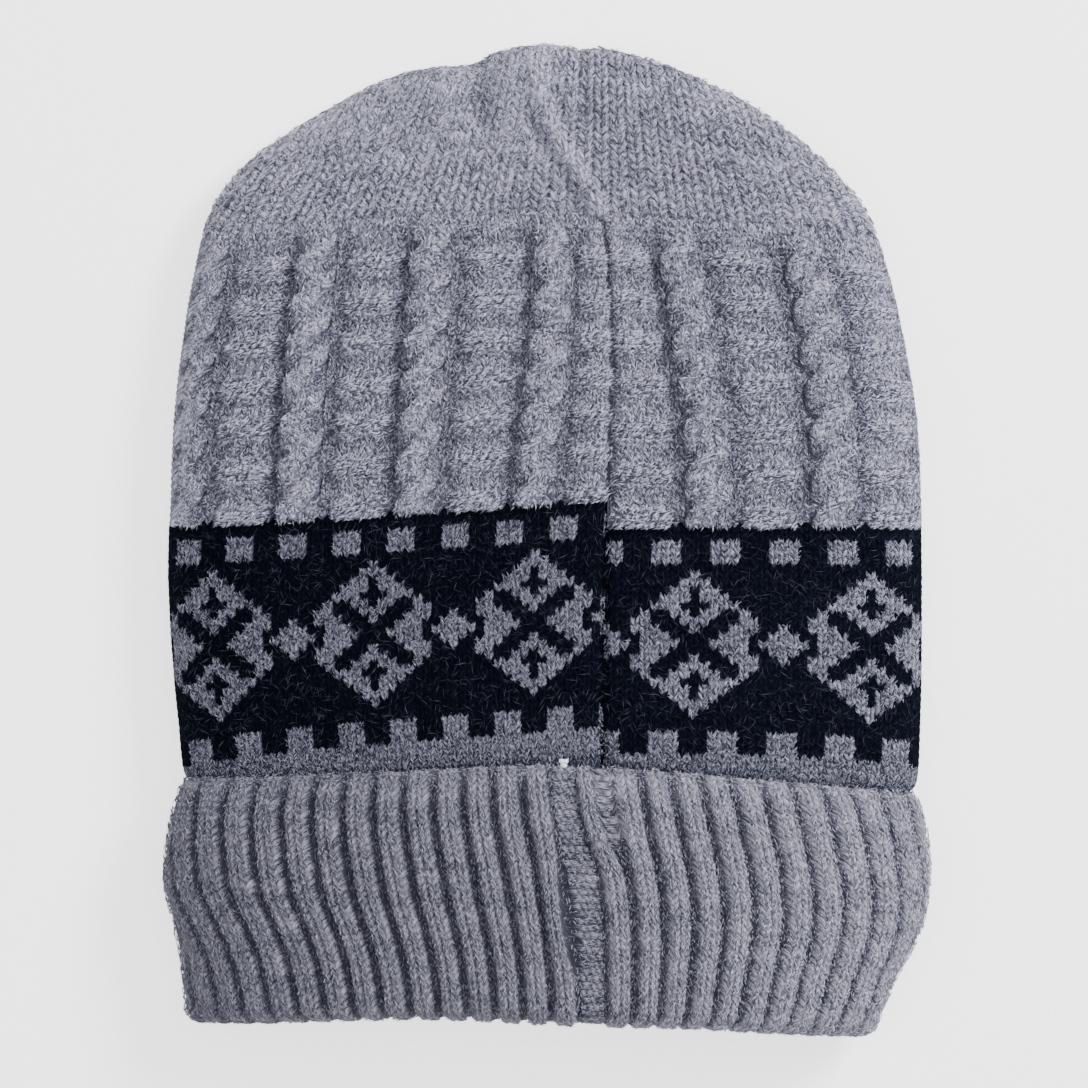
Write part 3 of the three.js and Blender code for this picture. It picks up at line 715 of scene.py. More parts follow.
@dataclass
class Top:
    """Plain drawn-in top: its wales run nearly upright and over the outline, cut by the leaning seam."""

    form: Form
    rng: np.random.Generator
    lines: int = 150
    line_step: float = 0.2
    first: tuple[float, float] = (87.0, 80.5)
    wale_mm: float = 5.2
    row_mm: float = 2.5
    start: float = 87.0
    fan_height: float = 145.0
    half_face: float = 88.0
    leg_slant: float = 0.95
    wall: float = 1.4
    lift: float = -0.3
    gathers: tuple[tuple[float, float, float], ...] = (
        (1.1, -29, 5.5),
        (-1.5, -19.5, 4.4),
        (1.4, -9, 6),
        (-0.8, 9, 3),
        (0.6, 18, 6),
    )

    def place(self, stitch: Array, step: Array, height: Array) -> Array:
        """Points of the top in metres, with steps from the cables, 0, to the apex, 1."""
        stitch, step, height = np.broadcast_arrays(stitch, step, height)
        return self.form.point(stitch, self.level(stitch, step), -height)

    def level(self, stitch: Array, step: Array) -> Array:
        """Height along Y of the steps of the net, which are even along the outline."""
        centre = mix(self.first[0], CAP_TOP, step)
        grid = np.linspace(self.first[1], CAP_TOP, 400)
        run = arc(grid, self.form.half(grid))
        edge = np.interp(step * run[-1], run, grid)
        across, _ = self.form.look(stitch, np.minimum(centre, CAP_TOP - 1))
        return mix(centre, edge, across**2)

    def wale(self, x: Array, y: Array) -> tuple[Array, Array]:
        """Wale and row of the knitting at a place on the face, shifted left of the seam."""
        left = x < self.form.table.at(y, "seam")
        first = float(self.form.table.at(np.array(self.start), "seam"))
        pitch = self.wale_mm * (1 - (y - self.start) / self.fan_height)
        sag = (6.5 + 0.4 * (y - self.start)) * (x / self.half_face) ** 2
        return (x - first) / pitch + 0.37 * left, (y + sag - self.start) / self.row_mm + 0.5 * left

    @staticmethod
    def drawn(y: Array) -> Array:
        """How far the cloth is drawn in at a height: 0 at the cables, 1 at the apex."""
        return smooth((y - 104) / 14)

    def folds(self, x: Array, y: Array) -> Array:
        """Relief of the gathers, the few deep folds and the ridge of the seam."""
        gathers = sum(height * bell(x - middle, width) for height, middle, width in self.gathers)
        off = x - self.form.table.at(y, "seam")
        ridge = 2.0 * bell(off + 0.6, 2.7) - 0.4 * bell(off - 3.8, 1.0) - 0.6 * bell(off + 6, 2.2)
        inset = self.form.half(y) - np.abs(x - self.form.middle(y))
        inner = 0.25 + 0.75 * smooth(inset / 10) * smooth((CAP_TOP - y) / 10)
        return (gathers * self.drawn(y) + ridge) * inner - 0.9 * bell(x - 9, 2) * self.drawn(y)

    def ridge_highlight(self, x: Array, y: Array) -> Array:
        """Painted highlight on the ridge of the seam: 1 on it, falling to 0 beside it."""
        return bell(x - self.form.table.at(y, "seam") + 0.6, 3.0)

    def dent_shadow(self, x: Array, y: Array) -> Array:
        """Painted shadow in the deepest fold of the gathers, left of the seam: 1 there."""
        return bell(x + 18, 4) * self.drawn(y)

    def relief(self, stitch: Array, step: Array) -> tuple[Array, Array, Array, Array]:
        """Relief, painted light, wale and row of the knitting at places of the net; the painted light is
        shade between the legs, a highlight on the seam's ridge and a shadow in the deepest fold.
        """
        y = self.level(stitch, step)
        x = self.form.across_mm(stitch, np.minimum(y, CAP_TOP - 0.2))
        wale, row = self.wale(x, y)
        side = 2 * np.abs(wale - np.rint(wale))
        knit_row = row - self.leg_slant * side
        legs = leg_height(side, knit_row)
        clear = np.maximum(smooth((x + 12) / 30), 0.8 * smooth((110 - y) / 12))
        plain = mix(0.45, 1.0, clear)
        # Painted light: shade between the legs, a highlight on the seam's ridge and a shadow in the
        # deepest fold of the gathers.
        painted_light = 0.92 - 0.84 * plain * (1 - legs) + 0.2 * self.ridge_highlight(x, y) - 0.2 * self.dent_shadow(x, y)
        tuck = -1.3 * (1 - smooth(step * self.lines / 5))
        closing = smooth((CAP_TOP - y) / 2)
        height = self.folds(x, y) + (self.lift + 0.95 * plain * legs) * closing + tuck
        return height, painted_light, wale, knit_row

    def make(self) -> Piece:
        """The top as a closed shell on a fine even net, which takes the stitches as relief."""
        fine = np.arange(-50.5, 43.5, self.line_step)
        before = np.arange(-HALF_ROUND, fine[0] - 0.5, COARSE)
        after = np.arange(HALF_ROUND, fine[-1] + 0.5, -COARSE)[::-1]
        stitch = np.concatenate([before, fine, after])[None, :]
        inner = np.array([1, 0.9, 0.7, 0.4, 0.1, 0.0])
        outer = np.arange(0, self.lines + 1) / self.lines
        step = np.concatenate([inner, outer])[:, None]
        is_outer = np.repeat([False, True], [len(inner), len(outer)])[:, None]
        relief, painted_light, wale, row = self.relief(stitch, step)
        points = self.place(stitch, step, np.where(is_outer, relief, -self.wall))
        texture = texture_of(wale, row, self.wale_mm, self.row_mm)
        shade = shade_of(tones(self.rng, wale + INSIDE, row + INSIDE), np.ones(1))
        return Net("crown_top", points, texture, shade, painted_light).build()

    def make_fibres(self, fibres: "Fibres", count: int) -> Piece:
        """Fibres over the top, which hide most of its stitches."""
        stitch, step = fibres.spots((-50, 42), (0.01, 0.985), count)
        height, _, wale, _ = self.relief(stitch, step)
        keep = self.rng.random(count) < self.form.half(self.level(stitch, step)) / self.half_face
        stitch, step, height, wale = stitch[keep], step[keep], height[keep], wale[keep]
        angle = fibres.leg_angle(wale)
        parts = fibres.scatter(self.place, height - 0.6, (stitch, step), angle, upright=True)
        y = self.level(stitch, step)
        x = self.form.across_mm(stitch, y)
        # Painted light on the fibres: a highlight on the seam's ridge and a shadow in the deepest fold.
        tone = 0.8 + 0.25 * self.ridge_highlight(x, y) - 0.2 * self.dent_shadow(x, y)
        return fibres.make("top_fibres", *parts, fibres.shades(np.ones(len(stitch)), tone))


# Half of the diamond of the band, row by row: each number is a wale from its middle that is grey.
DIAMOND = (
    (0,),
    (0, 1),
    (1, 2),
    (1, 2, 3),
    (2, 3, 4),
    (1, 2, 5),
    (0, 1, 5, 6),
    (0, 4, 5, 6, 9),
    (3, 4, 5, 8, 9),
    (2, 3, 4, 5, 7, 8, 9),
)
SQUARES = (2, 3, 4, 8, 9)  # wales from the middle of a diamond that are grey in the squares


@dataclass
class PatternBand:
    """Dark band with a traditional diamond pattern between two rows of small squares."""

    form: Form
    rng: np.random.Generator
    rows: int = 38
    repeat: int = 18
    right_centre: int = 9
    left_centre: int = 154
    diamond_row: int = 6
    square_rows: tuple[int, int] = (2, 4)
    merlon_rows: tuple[int, int] = (27, 29)
    plain_row: int = 30
    tuck_row: float = 34
    row_mm: float = 2.05
    spread: float = 0.065
    seen: tuple[int, int] = (-56, 42)

    def across_at(self, stitch: Array, y: Array) -> Array:
        """Place of stitches across the band, from -1 to 1, at heights that may lie past its form."""
        return self.form.look(stitch, np.clip(y, self.form.low, self.form.high))[0]

    def height_at(self, stitch: Array, row: Array) -> Array:
        """Height along Y of stitches, whose rows spread towards the sides."""
        level = 1 - smooth((row - self.tuck_row) / (self.rows - self.tuck_row))
        y = BAND_TOP - row * self.row_mm
        fall = self.spread * self.across_at(stitch, y) ** 4 * row * self.row_mm
        return y + (rise(stitch) - fall) * level

    def place(self, stitch: Array, row: Array, height: Array) -> Array:
        """Points of stitches of the band, in metres, with rows counted down from its top."""
        stitch, row, height = np.broadcast_arrays(stitch, row, height)
        return self.form.point(stitch, self.height_at(stitch, row), -raised(stitch, height))

    def grey(self, stitch: Array, row: Array) -> Array:
        """Whether stitches of the band are grey.

        Args:
            stitch: Stitches from the seam.
            row: Rows from the top of the band.

        Returns:
            1 for grey and 0 for dark.
        """
        wale = np.rint(wrapped(stitch)).astype(int) % STITCHES
        centre = np.where(wale < HALF_ROUND, self.right_centre, self.left_centre)
        half = self.repeat // 2
        k = np.abs(np.mod(wale - centre + half, self.repeat) - half)
        chart = np.zeros((self.rows + 2, half + 1), dtype=bool)
        for first, last in (self.square_rows, self.merlon_rows):
            chart[first : last + 1, SQUARES] = True
        chart[self.plain_row :, :] = True
        for r, wales in enumerate(DIAMOND + DIAMOND[-2::-1]):
            chart[self.diamond_row + r, wales] = True
        course = np.clip(np.floor(row).astype(int), 0, self.rows + 1)
        return chart[course, k].astype(float)

    def make(self) -> Piece:
        """The band as one closed shell, with every stitch in its colour."""
        outer = np.arange(0, self.rows * LINES_A_ROW + 1) / LINES_A_ROW
        inner = np.array([self.rows, 30, 15, 0.0])
        row = np.concatenate([outer, inner])[:, None]
        is_outer = np.repeat([True, False], [len(outer), len(inner)])[:, None]
        stitch, side = net_lines(*self.seen)
        place = row - LEG_SLANT * side * (is_outer | (row == 0))
        legs = leg_height(side, row)
        height = np.where(is_outer, 0.9 * legs + seam_relief(stitch), -BODY_WALL)
        points = self.place(stitch, place, height)
        middle = stitch + 0.12
        motif = self.grey(middle, row + INSIDE) * (np.abs(from_seam(middle)) > 0.2)
        shade = shade_of(tones(self.rng, middle, row + INSIDE), motif)
        # Painted shade: darker along the seam, between the legs of the stitches, and in the painted
        # shadow beside the cuff's lip.
        seam = 1 - bell(from_seam(stitch), 0.5)
        painted_light = (0.15 + 0.85 * legs) * seam * self.shadow(stitch, place)
        ring = closed(points, texture_of(stitch, row), shade, painted_light)
        return Net("pattern_band_knit", *ring).build()

    def shadow(self, stitch: Array, row: Array) -> Array:
        """Light left on the knitting: less beside the lip of the cuff, and less on the left."""
        y = self.height_at(stitch, row)
        over = y - CUFF_EDGES.at(self.across_at(stitch, y), "lip")
        wide = 0.2 * (1 - smooth((over - 3) / 9)) * smooth((over + 1) / 3)
        light = 0.75 + 0.11 * np.tanh(from_seam(stitch) / 16)
        return (0.25 + 0.75 * smooth((over + 0.6) / 3.4) - wide) * light

    def make_fibres(self, fibres: "Fibres", count: int) -> Piece:
        """Fibres over the band in the colour of their stitch, fewer of them on the dark yarn."""
        stitch, row = fibres.spots((-50, 33), (0, 33), count)
        motif = self.grey(stitch, row + 0.5)
        keep = (motif > 0.5) | (self.rng.random(count) < 0.3)
        stitch, row, motif = stitch[keep], row[keep], motif[keep]
        light = 0.26 + 0.47 * self.shadow(stitch, row)
        shade = fibres.shades(motif, light * (0.6 + 0.4 * motif))
        angle = -fibres.leg_angle(stitch)
        parts = fibres.scatter(self.place, seam_relief(stitch), (stitch, row), angle)
        return fibres.make("band_fibres", *parts, shade)

    def make_strays(self, fibres: "Fibres", count: int) -> Piece:
        """Long faint hairs that lie over the dark yarn."""
        stitch, row = fibres.spots((-49, 32), (0.5, 30), count)
        keep = self.grey(stitch, row) < 0.5
        stitch, row = stitch[keep], row[keep]
        angle = self.rng.uniform(0, math.pi, len(stitch))
        parts = fibres.scatter(self.place, 0.4 + seam_relief(stitch), (stitch, row), angle)
        tone = self.rng.uniform(0.0, 0.024, len(stitch))
        return fibres.make("band_hairs", *parts, shade_of(tone, np.ones(len(stitch))))


# Lines of a net over one rib of the cuff: their offset from its middle, and how far along the leg.
RIB_LINES = (
    (-1.5, 0.0),
    (-1.3, 0.0),
    (-1.12, 1.0),
    (-0.85, 0.5),
    (-0.58, 0.0),
    (-0.3, 0.5),
    (0.0, 1.0),
    (0.3, 0.5),
    (0.58, 0.0),
    (0.85, 0.5),
    (1.12, 1.0),
    (1.3, 0.0),
)
RIB_STITCHES = 3
STRIP_HALF = 1.5


def rib_offset(stitch: Array) -> Array:
    """Stitches from the middle of the nearest rib."""
    return np.mod(from_seam(stitch) + RIB_STITCHES / 2, RIB_STITCHES) - RIB_STITCHES / 2


@dataclass
class Cuff:
    """Ribbed cuff that is folded up over the band, with its purl strip at the seam."""

    form: Form
    rng: np.random.Generator
    wall: float = 4.3
    lip_wall: float = 1.9
    slot: float = 0.8
    inner_top: float = -76.1
    middle_y: float = -97.0
    rows: int = 34
    nose_rows: int = 7
    inner_rows: int = 20
    rib: float = 1.35
    drop: float = 1.95
    leg_slant: float = 1.25
    strip_depth: float = 0.7

    def __post_init__(self) -> None:
        """Finds the radius of the fold."""
        self.radius = self.wall + self.slot / 2

    def edges(self, stitch: Array) -> tuple[Array, Array]:
        """Heights of the lip and of the start of the fold at stitches."""
        across, _ = self.form.look(stitch, np.full(np.shape(stitch), self.middle_y))
        return CUFF_EDGES.at(across, "lip"), CUFF_EDGES.at(across, "fold") + self.radius

    def place(self, stitch: Array, row: Array, height: Array) -> Array:
        """Points of the cuff, in metres.

        Args:
            stitch: Stitches from the seam.
            row: Rows down from the lip, round the fold and up inside.
            height: Height over the knitting's face, in millimetres.

        Returns:
            An array of points.
        """
        stitch, row, height = np.broadcast_arrays(stitch, row, height)
        lip, start = self.edges(stitch)
        turn = np.clip((row - self.rows) / self.nose_rows, 0, 1) * math.pi
        up = np.clip((row - self.rows - self.nose_rows) / self.inner_rows, 0, 1)
        nose = start - (self.radius - 1.0 + 0.5 * height) * np.sin(turn)
        y = np.where(row <= self.rows, mix(lip, start, row / self.rows), nose)
        y = np.where(up > 0, mix(start, self.inner_top, up), y)
        depth = self.radius * (1 - np.cos(turn)) - height * np.cos(turn)
        return self.form.point(stitch + self.drawn(stitch, row), y, depth)

    def drawn(self, stitch: Array, row: Array) -> Array:
        """How far stitches beside the seam lie from their even places, in stitches."""
        away = from_seam(stitch)
        shares = np.eye(len(SEAM_KNOTS))[1:-1]
        moved = np.zeros(np.broadcast(stitch, row).shape)
        for column, knot, share in zip(SEAM_LINES.columns[1:], SEAM_KNOTS[1:-1], shares):
            near = np.interp(away, SEAM_KNOTS, share)
            moved = moved + near * (SEAM_LINES.at(row, column) - knot)
        return moved

    def opened(self, stitch: Array, row: Array) -> Array:
        """1 in the valley that stands open near the lip, right of the first rib."""
        valley = smooth(4 - 7 * np.abs(from_seam(stitch) - 4.5))
        return valley * (1 - smooth((row - 8) / 7))

    def sunken(self, stitch: Array, row: Array) -> Array:
        """1 in the deep end of the valley left of the strip."""
        return smooth(3 - 8 * np.abs(from_seam(stitch) + 1.68)) * bell(row - 20.5, 7)

    def flank(self, stitch: Array) -> Array:
        """1 on the sides of the ribs, 0 on their backs."""
        return smooth((np.abs(rib_offset(stitch)) - 0.7) / 0.35)

    def rib_shape(self, stitch: Array, row: Array) -> Array:
        """Relief of the ribs before it is pressed: two knit wales each, with a purl valley between."""
        c = rib_offset(stitch)
        ridge = self.rib * (1 - self.drop * smooth((np.abs(c) - 0.66) / 0.62))
        ridge = ridge - 0.4 * bell(c, 0.16) + 0.3 * self.opened(stitch, row)
        ridge = ridge - 0.6 * self.sunken(stitch, row)
        strip = np.where(np.abs(from_seam(stitch)) < STRIP_HALF, -self.strip_depth, ridge)
        lip = 0.2 + 0.8 * smooth((row - 0.2) / 4)
        return strip * lip * (1 - 0.6 * smooth((row - self.rows - 2) / 4))

    def rib_height(self, stitch: Array, row: Array) -> Array:
        """Relief of the ribs: less of it at the side folds, and rounded off at the lip."""
        pressed = CUFF_FOLDS.pressed(stitch, 16, 0.42)
        sunk = 0.8 * (1 - CUFF_FOLDS.pressed(stitch, 8, 0.0)) + 0.9 * (1 - smooth(row / 1.6))
        return self.rib_shape(stitch, row) * pressed - sunk

    def valley_shade(self, stitch: Array, row: Array) -> Array:
        """Painted shade by how high a place stands: 0 in the valleys, which are painted darker, up to 1
        on the ribs, and less on their flanks.
        """
        found = smooth((self.rib_shape(stitch, row) + 1.7) / 2.4)
        return np.maximum(found * (1 - 0.35 * self.flank(stitch)), 0.55 * self.opened(stitch, row))

    def side_light(self, stitch: Array) -> Array:
        """Painted side light: from -1 on the left, where the cuff is painted duller and darker, to 1 on
        the right, where it is painted crisper and lighter.
        """
        away = from_seam(stitch)
        return np.tanh(away / 18) * smooth((HALF_ROUND - np.abs(away)) / 30)

    def painted_side_light(self, stitch: Array) -> Array:
        """Painted side light on the yarn: lighter on the right than on the left, and a little lighter on
        the strip.
        """
        strip = np.abs(from_seam(stitch)) < STRIP_HALF
        return 0.28 * self.side_light(stitch) - 0.01 + 0.03 * strip

    def make(self) -> Piece:
        """The cuff as one closed shell: face, fold, inside and the slot behind it."""
        half = STITCHES // (2 * RIB_STITCHES)
        rows = [(RIB_STITCHES * n + o, s) for n in range(-half, half) for o, s in RIB_LINES]
        rows.append((RIB_STITCHES * half + RIB_LINES[0][0], RIB_LINES[0][1]))
        stitch, side = (np.array(values)[None, :] for values in zip(*rows))
        end = self.rows + self.nose_rows
        face = np.arange(0, end * LINES_A_ROW + 1) / LINES_A_ROW
        row = np.concatenate([face, end + np.array([4, 10, self.inner_rows])])[:, None]
        strip = np.abs(stitch) < STRIP_HALF
        slant = np.where(strip, 0, self.leg_slant * side) * smooth((end - row) / 3)
        place = np.maximum(0, row - slant * smooth((row + 0.4) / 2))
        opened = self.opened(stitch, row)
        pebble = np.where(strip, 1.15 * stitch, (stitch - 4.12) / 0.38)
        wave = 0.5 + 0.5 * np.cos(2 * math.pi * (pebble + 0.5 * (np.floor(row) % 2)))
        pebbles = wave * np.abs(np.sin(math.pi * row)) ** 0.7
        loop = mix(leg_height(side, row), pebbles, np.where(strip, 1, opened))
        flank = np.where(strip, 0, self.flank(stitch)) * (1 - opened)
        stands = 0.85 * CUFF_FOLDS.pressed(stitch, 6, 0.42) * (1 - 0.5 * flank)
        points = self.place(stitch, place, self.rib_height(stitch, place) + stands * loop)
        hidden = self._slot(stitch)
        points = np.concatenate([points, hidden, points[:1]])
        lines = np.concatenate([row[:, 0], row[-1, 0] + np.arange(1, len(hidden) + 2)])[:, None]
        tone = tones(self.rng, stitch + INSIDE, lines + INSIDE) + self.painted_side_light(stitch)
        # Painted shade: darker between the legs, in the valleys, on the flanks of the ribs and in the
        # deep end of the valley left of the strip, with more contrast on the right.
        painted_light = (0.38 + 0.62 * loop) * (0.6 + 0.4 * self.valley_shade(stitch, place))
        painted_light = painted_light * (1 - 0.6 * self.sunken(stitch, row)) * (1 - 0.28 * flank)
        painted_light = painted_light ** (1 + 0.28 * self.side_light(stitch))
        # Painted shade on the walls inside the fold, which are dark throughout.
        painted_light = np.concatenate([painted_light, np.full((len(hidden) + 1, stitch.size), 0.2)])
        shade = shade_of(tone, np.ones(1))
        return Net("cuff_ribbing", points, texture_of(stitch, lines), shade, painted_light).build()

    def make_fibres(self, fibres: "Fibres", count: int) -> Piece:
        """Fibres over the ribs, along their stitches."""
        stitch, row = fibres.spots((-46, 37), (-0.2, self.rows + 5), count)
        rib = rib_offset(stitch)
        leg = np.where(np.mod(np.abs(rib) / 0.58, 2) < 1, 1, -1) * np.sign(rib)
        strip = np.abs(stitch) < 1.4
        purl = strip | (self.opened(stitch, row) > 0.5)
        at_lip = row < 1.2
        across = self.rng.uniform(-0.7, 0.7, count) + at_lip * self.rng.uniform(-1, 1, count)
        angle = np.where(purl | at_lip, across, -(math.pi / 2 - 0.4 * leg))
        # Painted light on the fibres: darker in the valleys, with more contrast and lighter on the right
        # than on the left.
        contrast = 0.3 * (1 + 0.4 * self.side_light(stitch))
        tone = 0.82 + contrast * (self.valley_shade(stitch, row) - 0.55) + self.painted_side_light(stitch)
        shade = fibres.shades(np.ones(count), tone)
        height = self.rib_height(stitch, row) - 0.5 * strip
        parts = fibres.scatter(self.place, height, (stitch, row), angle)
        return fibres.make("cuff_fibres", *parts, shade)

    def _slot(self, stitch: Array) -> Array:
        """Lines of the walls that face each other inside the folded cuff, and the back of the lip."""
        lip, start = self.edges(stitch)
        rows = (
            (0 * lip + self.inner_top, self.wall + self.slot),
            (start + 2, self.wall + self.slot),
            (start + 2, self.wall),
            (lip - 9, self.wall),
            (lip - 1.2, self.lip_wall + 0.3),
            (lip - 0.1, self.lip_wall * 0.6),
        )
        return np.concatenate([self.form.point(stitch, y, np.full(y.shape, d)) for y, d in rows])


@dataclass
class Fibres:
    """Loose fibres that stand out of the yarn: thin needles, joined in one mesh."""

    rng: np.random.Generator
    length: tuple[float, float]
    width: float
    loose: float = 0.38
    curl: float = 0.045
    dark_share: float = 0.45
    dark: float = 0.08
    light: float = 0.54
    spread: float = 0.34

    PURL_ANGLE = 0.5
    LEG_ANGLE = 0.52
    STEP = 0.02
    FACES = ((0, 3, 2), (1, 2, 3), (0, 2, 1), (0, 1, 3))

    def spots(
        self, stitches: tuple[float, float], rows: tuple[float, float], count: int
    ) -> tuple[Array, Array]:
        """Random stitches and rows in a range of both."""
        return self.rng.uniform(*stitches, count), self.rng.uniform(*rows, count)

    def leg_angle(self, wale: Array) -> Array:
        """Direction of the leg of a plain stitch at a place of its wale, from the row upwards."""
        return math.pi / 2 - self.LEG_ANGLE * np.where(wale > np.rint(wale), 1, -1)

    def shades(self, motif: Array, light: Array) -> Array:
        """Yarn attribute of fibres: light and dark ones, mixed at random, times the painted light given
        for each.
        """
        count = len(motif)
        dark = self.rng.random(count) < self.dark_share
        tone = np.where(dark, self.dark, self.light) + self.spread * self.rng.random(count)
        return shade_of(tone * light, motif)

    def scatter(
        self,
        place: Place,
        height: Array,
        spots: tuple[Array, Array],
        angle: Array,
        upright: bool = False,
    ) -> tuple[Array, Array, Array]:
        """Lays fibres over spots of the knitting.

        Args:
            place: Gives the point of a stitch, row and height.
            height: Relief of the knitting at the spots.
            spots: Their stitches and rows.
            angle: Direction of each fibre, from the row towards the next one.
            upright: Whether directions are counted from +X to +Y instead.

        Returns:
            Middles, axes and bends of the fibres.
        """
        stitch, row = spots
        count, rng = len(stitch), self.rng
        length = rng.uniform(*self.length, count)[:, None] * MM
        turned = (angle + rng.normal(0, self.loose, count))[:, None]
        step = self.STEP
        mid = place(stitch, row, height + rng.uniform(0.3, 1.0, count))
        along = unit(place(stitch + step, row, height) - place(stitch - step, row, height))
        onward = unit(place(stitch, row + step, height) - place(stitch, row - step, height))
        away = unit(np.cross(along, onward))
        if upright:
            along, onward = np.array([1.0, 0, 0]), np.array([0, 1.0, 0])
        axis = np.cos(turned) * along + np.sin(turned) * onward
        axis = unit(axis - away * np.sum(axis * away, axis=1, keepdims=True))
        axis = axis + away * rng.normal(0, 0.13, (count, 1))
        bend = rng.normal(0, self.curl, (count, 3)) * length
        bend[:, 2] = np.abs(bend[:, 2]) * 0.8
        return mid, axis * length / 2, bend

    def make(self, name: str, mid: Array, axis: Array, bend: Array, shade: Array) -> Piece:
        """Needles with four corners: both ends, and the two sides of the middle.

        Args:
            name: Name of the new object.
            mid: Middle of every fibre.
            axis: Half of every fibre, from its middle to its end.
            bend: How far the middle lies off the line between the ends.
            shade: Yarn attribute of every fibre.

        Returns:
            The new object.
        """
        count = len(mid)
        half = unit(np.cross(axis, np.array([0.0, 0.0, 1.0]))) * self.width * MM / 2
        low = mid - bend - np.array([0, 0, 0.4 * self.width * MM])
        corners = [low - axis, low + axis, mid + bend - half, mid + bend + half]
        vertices = np.stack(corners, axis=1).astype(np.float32)
        index = np.arange(count)[:, None, None] * 4 + np.array(self.FACES)[None]
        mesh = bpy.data.meshes.new(name)
        mesh.vertices.add(count * 4)
        mesh.vertices.foreach_set("co", vertices.ravel())
        mesh.loops.add(count * 12)
        mesh.loops.foreach_set("vertex_index", index.astype(np.int32).ravel())
        mesh.polygons.add(count * 4)
        mesh.polygons.foreach_set("loop_start", np.arange(count * 4, dtype=np.int32) * 3)
        layer = mesh.attributes.new("yarn", "FLOAT_COLOR", "POINT")
        layer.data.foreach_set("color", np.repeat(shade, 4, axis=0).astype(np.float32).ravel())
        mesh.update(calc_edges=True)
        mesh.validate()
        return linked(name, mesh)


@dataclass
class Knot:
    """Small knot of white thread on the lip of the cuff, at the seam."""

    cuff: Cuff
    radius: float = 1.15
    shift: tuple[float, float, float] = (0.1, 1.3, 0.3)
    lumps: tuple[tuple[float, float, float], ...] = (
        (0.0, 0.0, 0.0),
        (0.5, 0.35, 0.3),
        (-0.35, 0.4, 0.25),
        (0.2, -0.6, 0.1),
    )
    ends: tuple[tuple[float, float], ...] = ((0.7, 1.9), (2.4, 1.5), (3.9, 1.2))
    thread: tuple[float, float] = (0.22, 0.1)

    def make(self) -> Piece:
        """Lumps of thread and its short cut ends, joined in one mesh."""
        lip = self.cuff.place(np.array(0.1), np.array(0.2), np.array(2.6))
        centre = Vector(lip) + Vector(self.shift) * MM
        made = bmesh.new()
        squash = Matrix.Diagonal((1, 0.8, 0.7, 1))
        for lump in self.lumps:
            spot = Matrix.Translation(centre + Vector(lump) * self.radius * MM) @ squash
            size = self.radius * 0.7 * MM
            bmesh.ops.create_icosphere(made, subdivisions=3, radius=size, matrix=spot)
        for angle, length in self.ends:
            away = Vector((math.cos(angle), math.sin(angle), 0.25)).normalized()
            turn = away.to_track_quat("Z", "Y").to_matrix().to_4x4()
            bmesh.ops.create_cone(
                made,
                segments=8,
                cap_ends=True,
                radius1=self.thread[0] * MM,
                radius2=self.thread[1] * MM,
                depth=length * MM,
                matrix=Matrix.Translation(centre + away * length * MM / 2) @ turn,
            )
        mesh = bpy.data.meshes.new("seam_knot")
        made.to_mesh(mesh)
        made.free()
        mesh.shade_smooth()
        layer = mesh.attributes.new("yarn", "FLOAT_COLOR", "POINT")
        layer.data.foreach_set("color", np.ones(len(mesh.vertices) * 4, dtype=np.float32))
        return linked("seam_knot", mesh)


@dataclass(frozen=True)
class Yarn:
    """Colours and gloss of a yarn, and how much its fibres differ."""

    light: tuple[float, float, float]
    deep: tuple[float, float, float]
    contrast: float = 0.9
    roughness: float = 0.9
    sheen: float = 0.15
    gloss: float = 0.15


GREY_YARN = Yarn((0.56, 0.555, 0.67), (0.04, 0.04, 0.062))
DARK_YARN = Yarn((0.006, 0.009, 0.019), (0.0015, 0.002, 0.005), sheen=0.0, gloss=0.04)
MOTIF_YARN = Yarn((0.48, 0.48, 0.585), (0.02, 0.022, 0.036))
RIB_YARN = Yarn((0.455, 0.445, 0.52), (0.033, 0.033, 0.05), contrast=0.45)
THREAD = Yarn((0.85, 0.86, 0.90), (0.55, 0.56, 0.62))


@dataclass
class Wiring:
    """Node tree that nodes are added to, with plain values or sockets of other nodes as inputs."""

    tree: bpy.types.NodeTree

    def fill(self, node: bpy.types.Node, inputs: dict[str | int, object]) -> None:
        """Gives inputs of a node, by name or number, their values or sockets."""
        for name, value in inputs.items():
            if isinstance(value, Socket):
                self.tree.links.new(value, node.inputs[name])
            else:
                node.inputs[name].default_value = value

    def add(self, kind: str, inputs: dict[str | int, object], **settings: object) -> bpy.types.Node:
        """Adds a shader node.

        Args:
            kind: Its type, without the words that all of them start with.
            inputs: Values or sockets of its inputs.
            settings: Its other properties.

        Returns:
            The new node.
        """
        node = self.tree.nodes.new("ShaderNode" + kind)
        for name, value in settings.items():
            setattr(node, name, value)
        self.fill(node, inputs)
        return node

    def sum(self, kind: str, a: Socket, b: Socket | float) -> Socket:
        """Two values put together by a kind of sum."""
        return self.add("Math", {0: a, 1: b}, operation=kind).outputs[0]

    def swing(self, value: Socket, middle: float, gain: Socket | float) -> Socket:
        """How far a value is from its middle, times a gain."""
        return self.sum("MULTIPLY", self.sum("SUBTRACT", value, middle), gain)

    def blend(self, share: Socket, a: object, b: object) -> Socket:
        """Colour between two colours."""
        inputs = {"Factor": share, "A": a, "B": b}
        return self.add("Mix", inputs, data_type="RGBA").outputs["Result"]


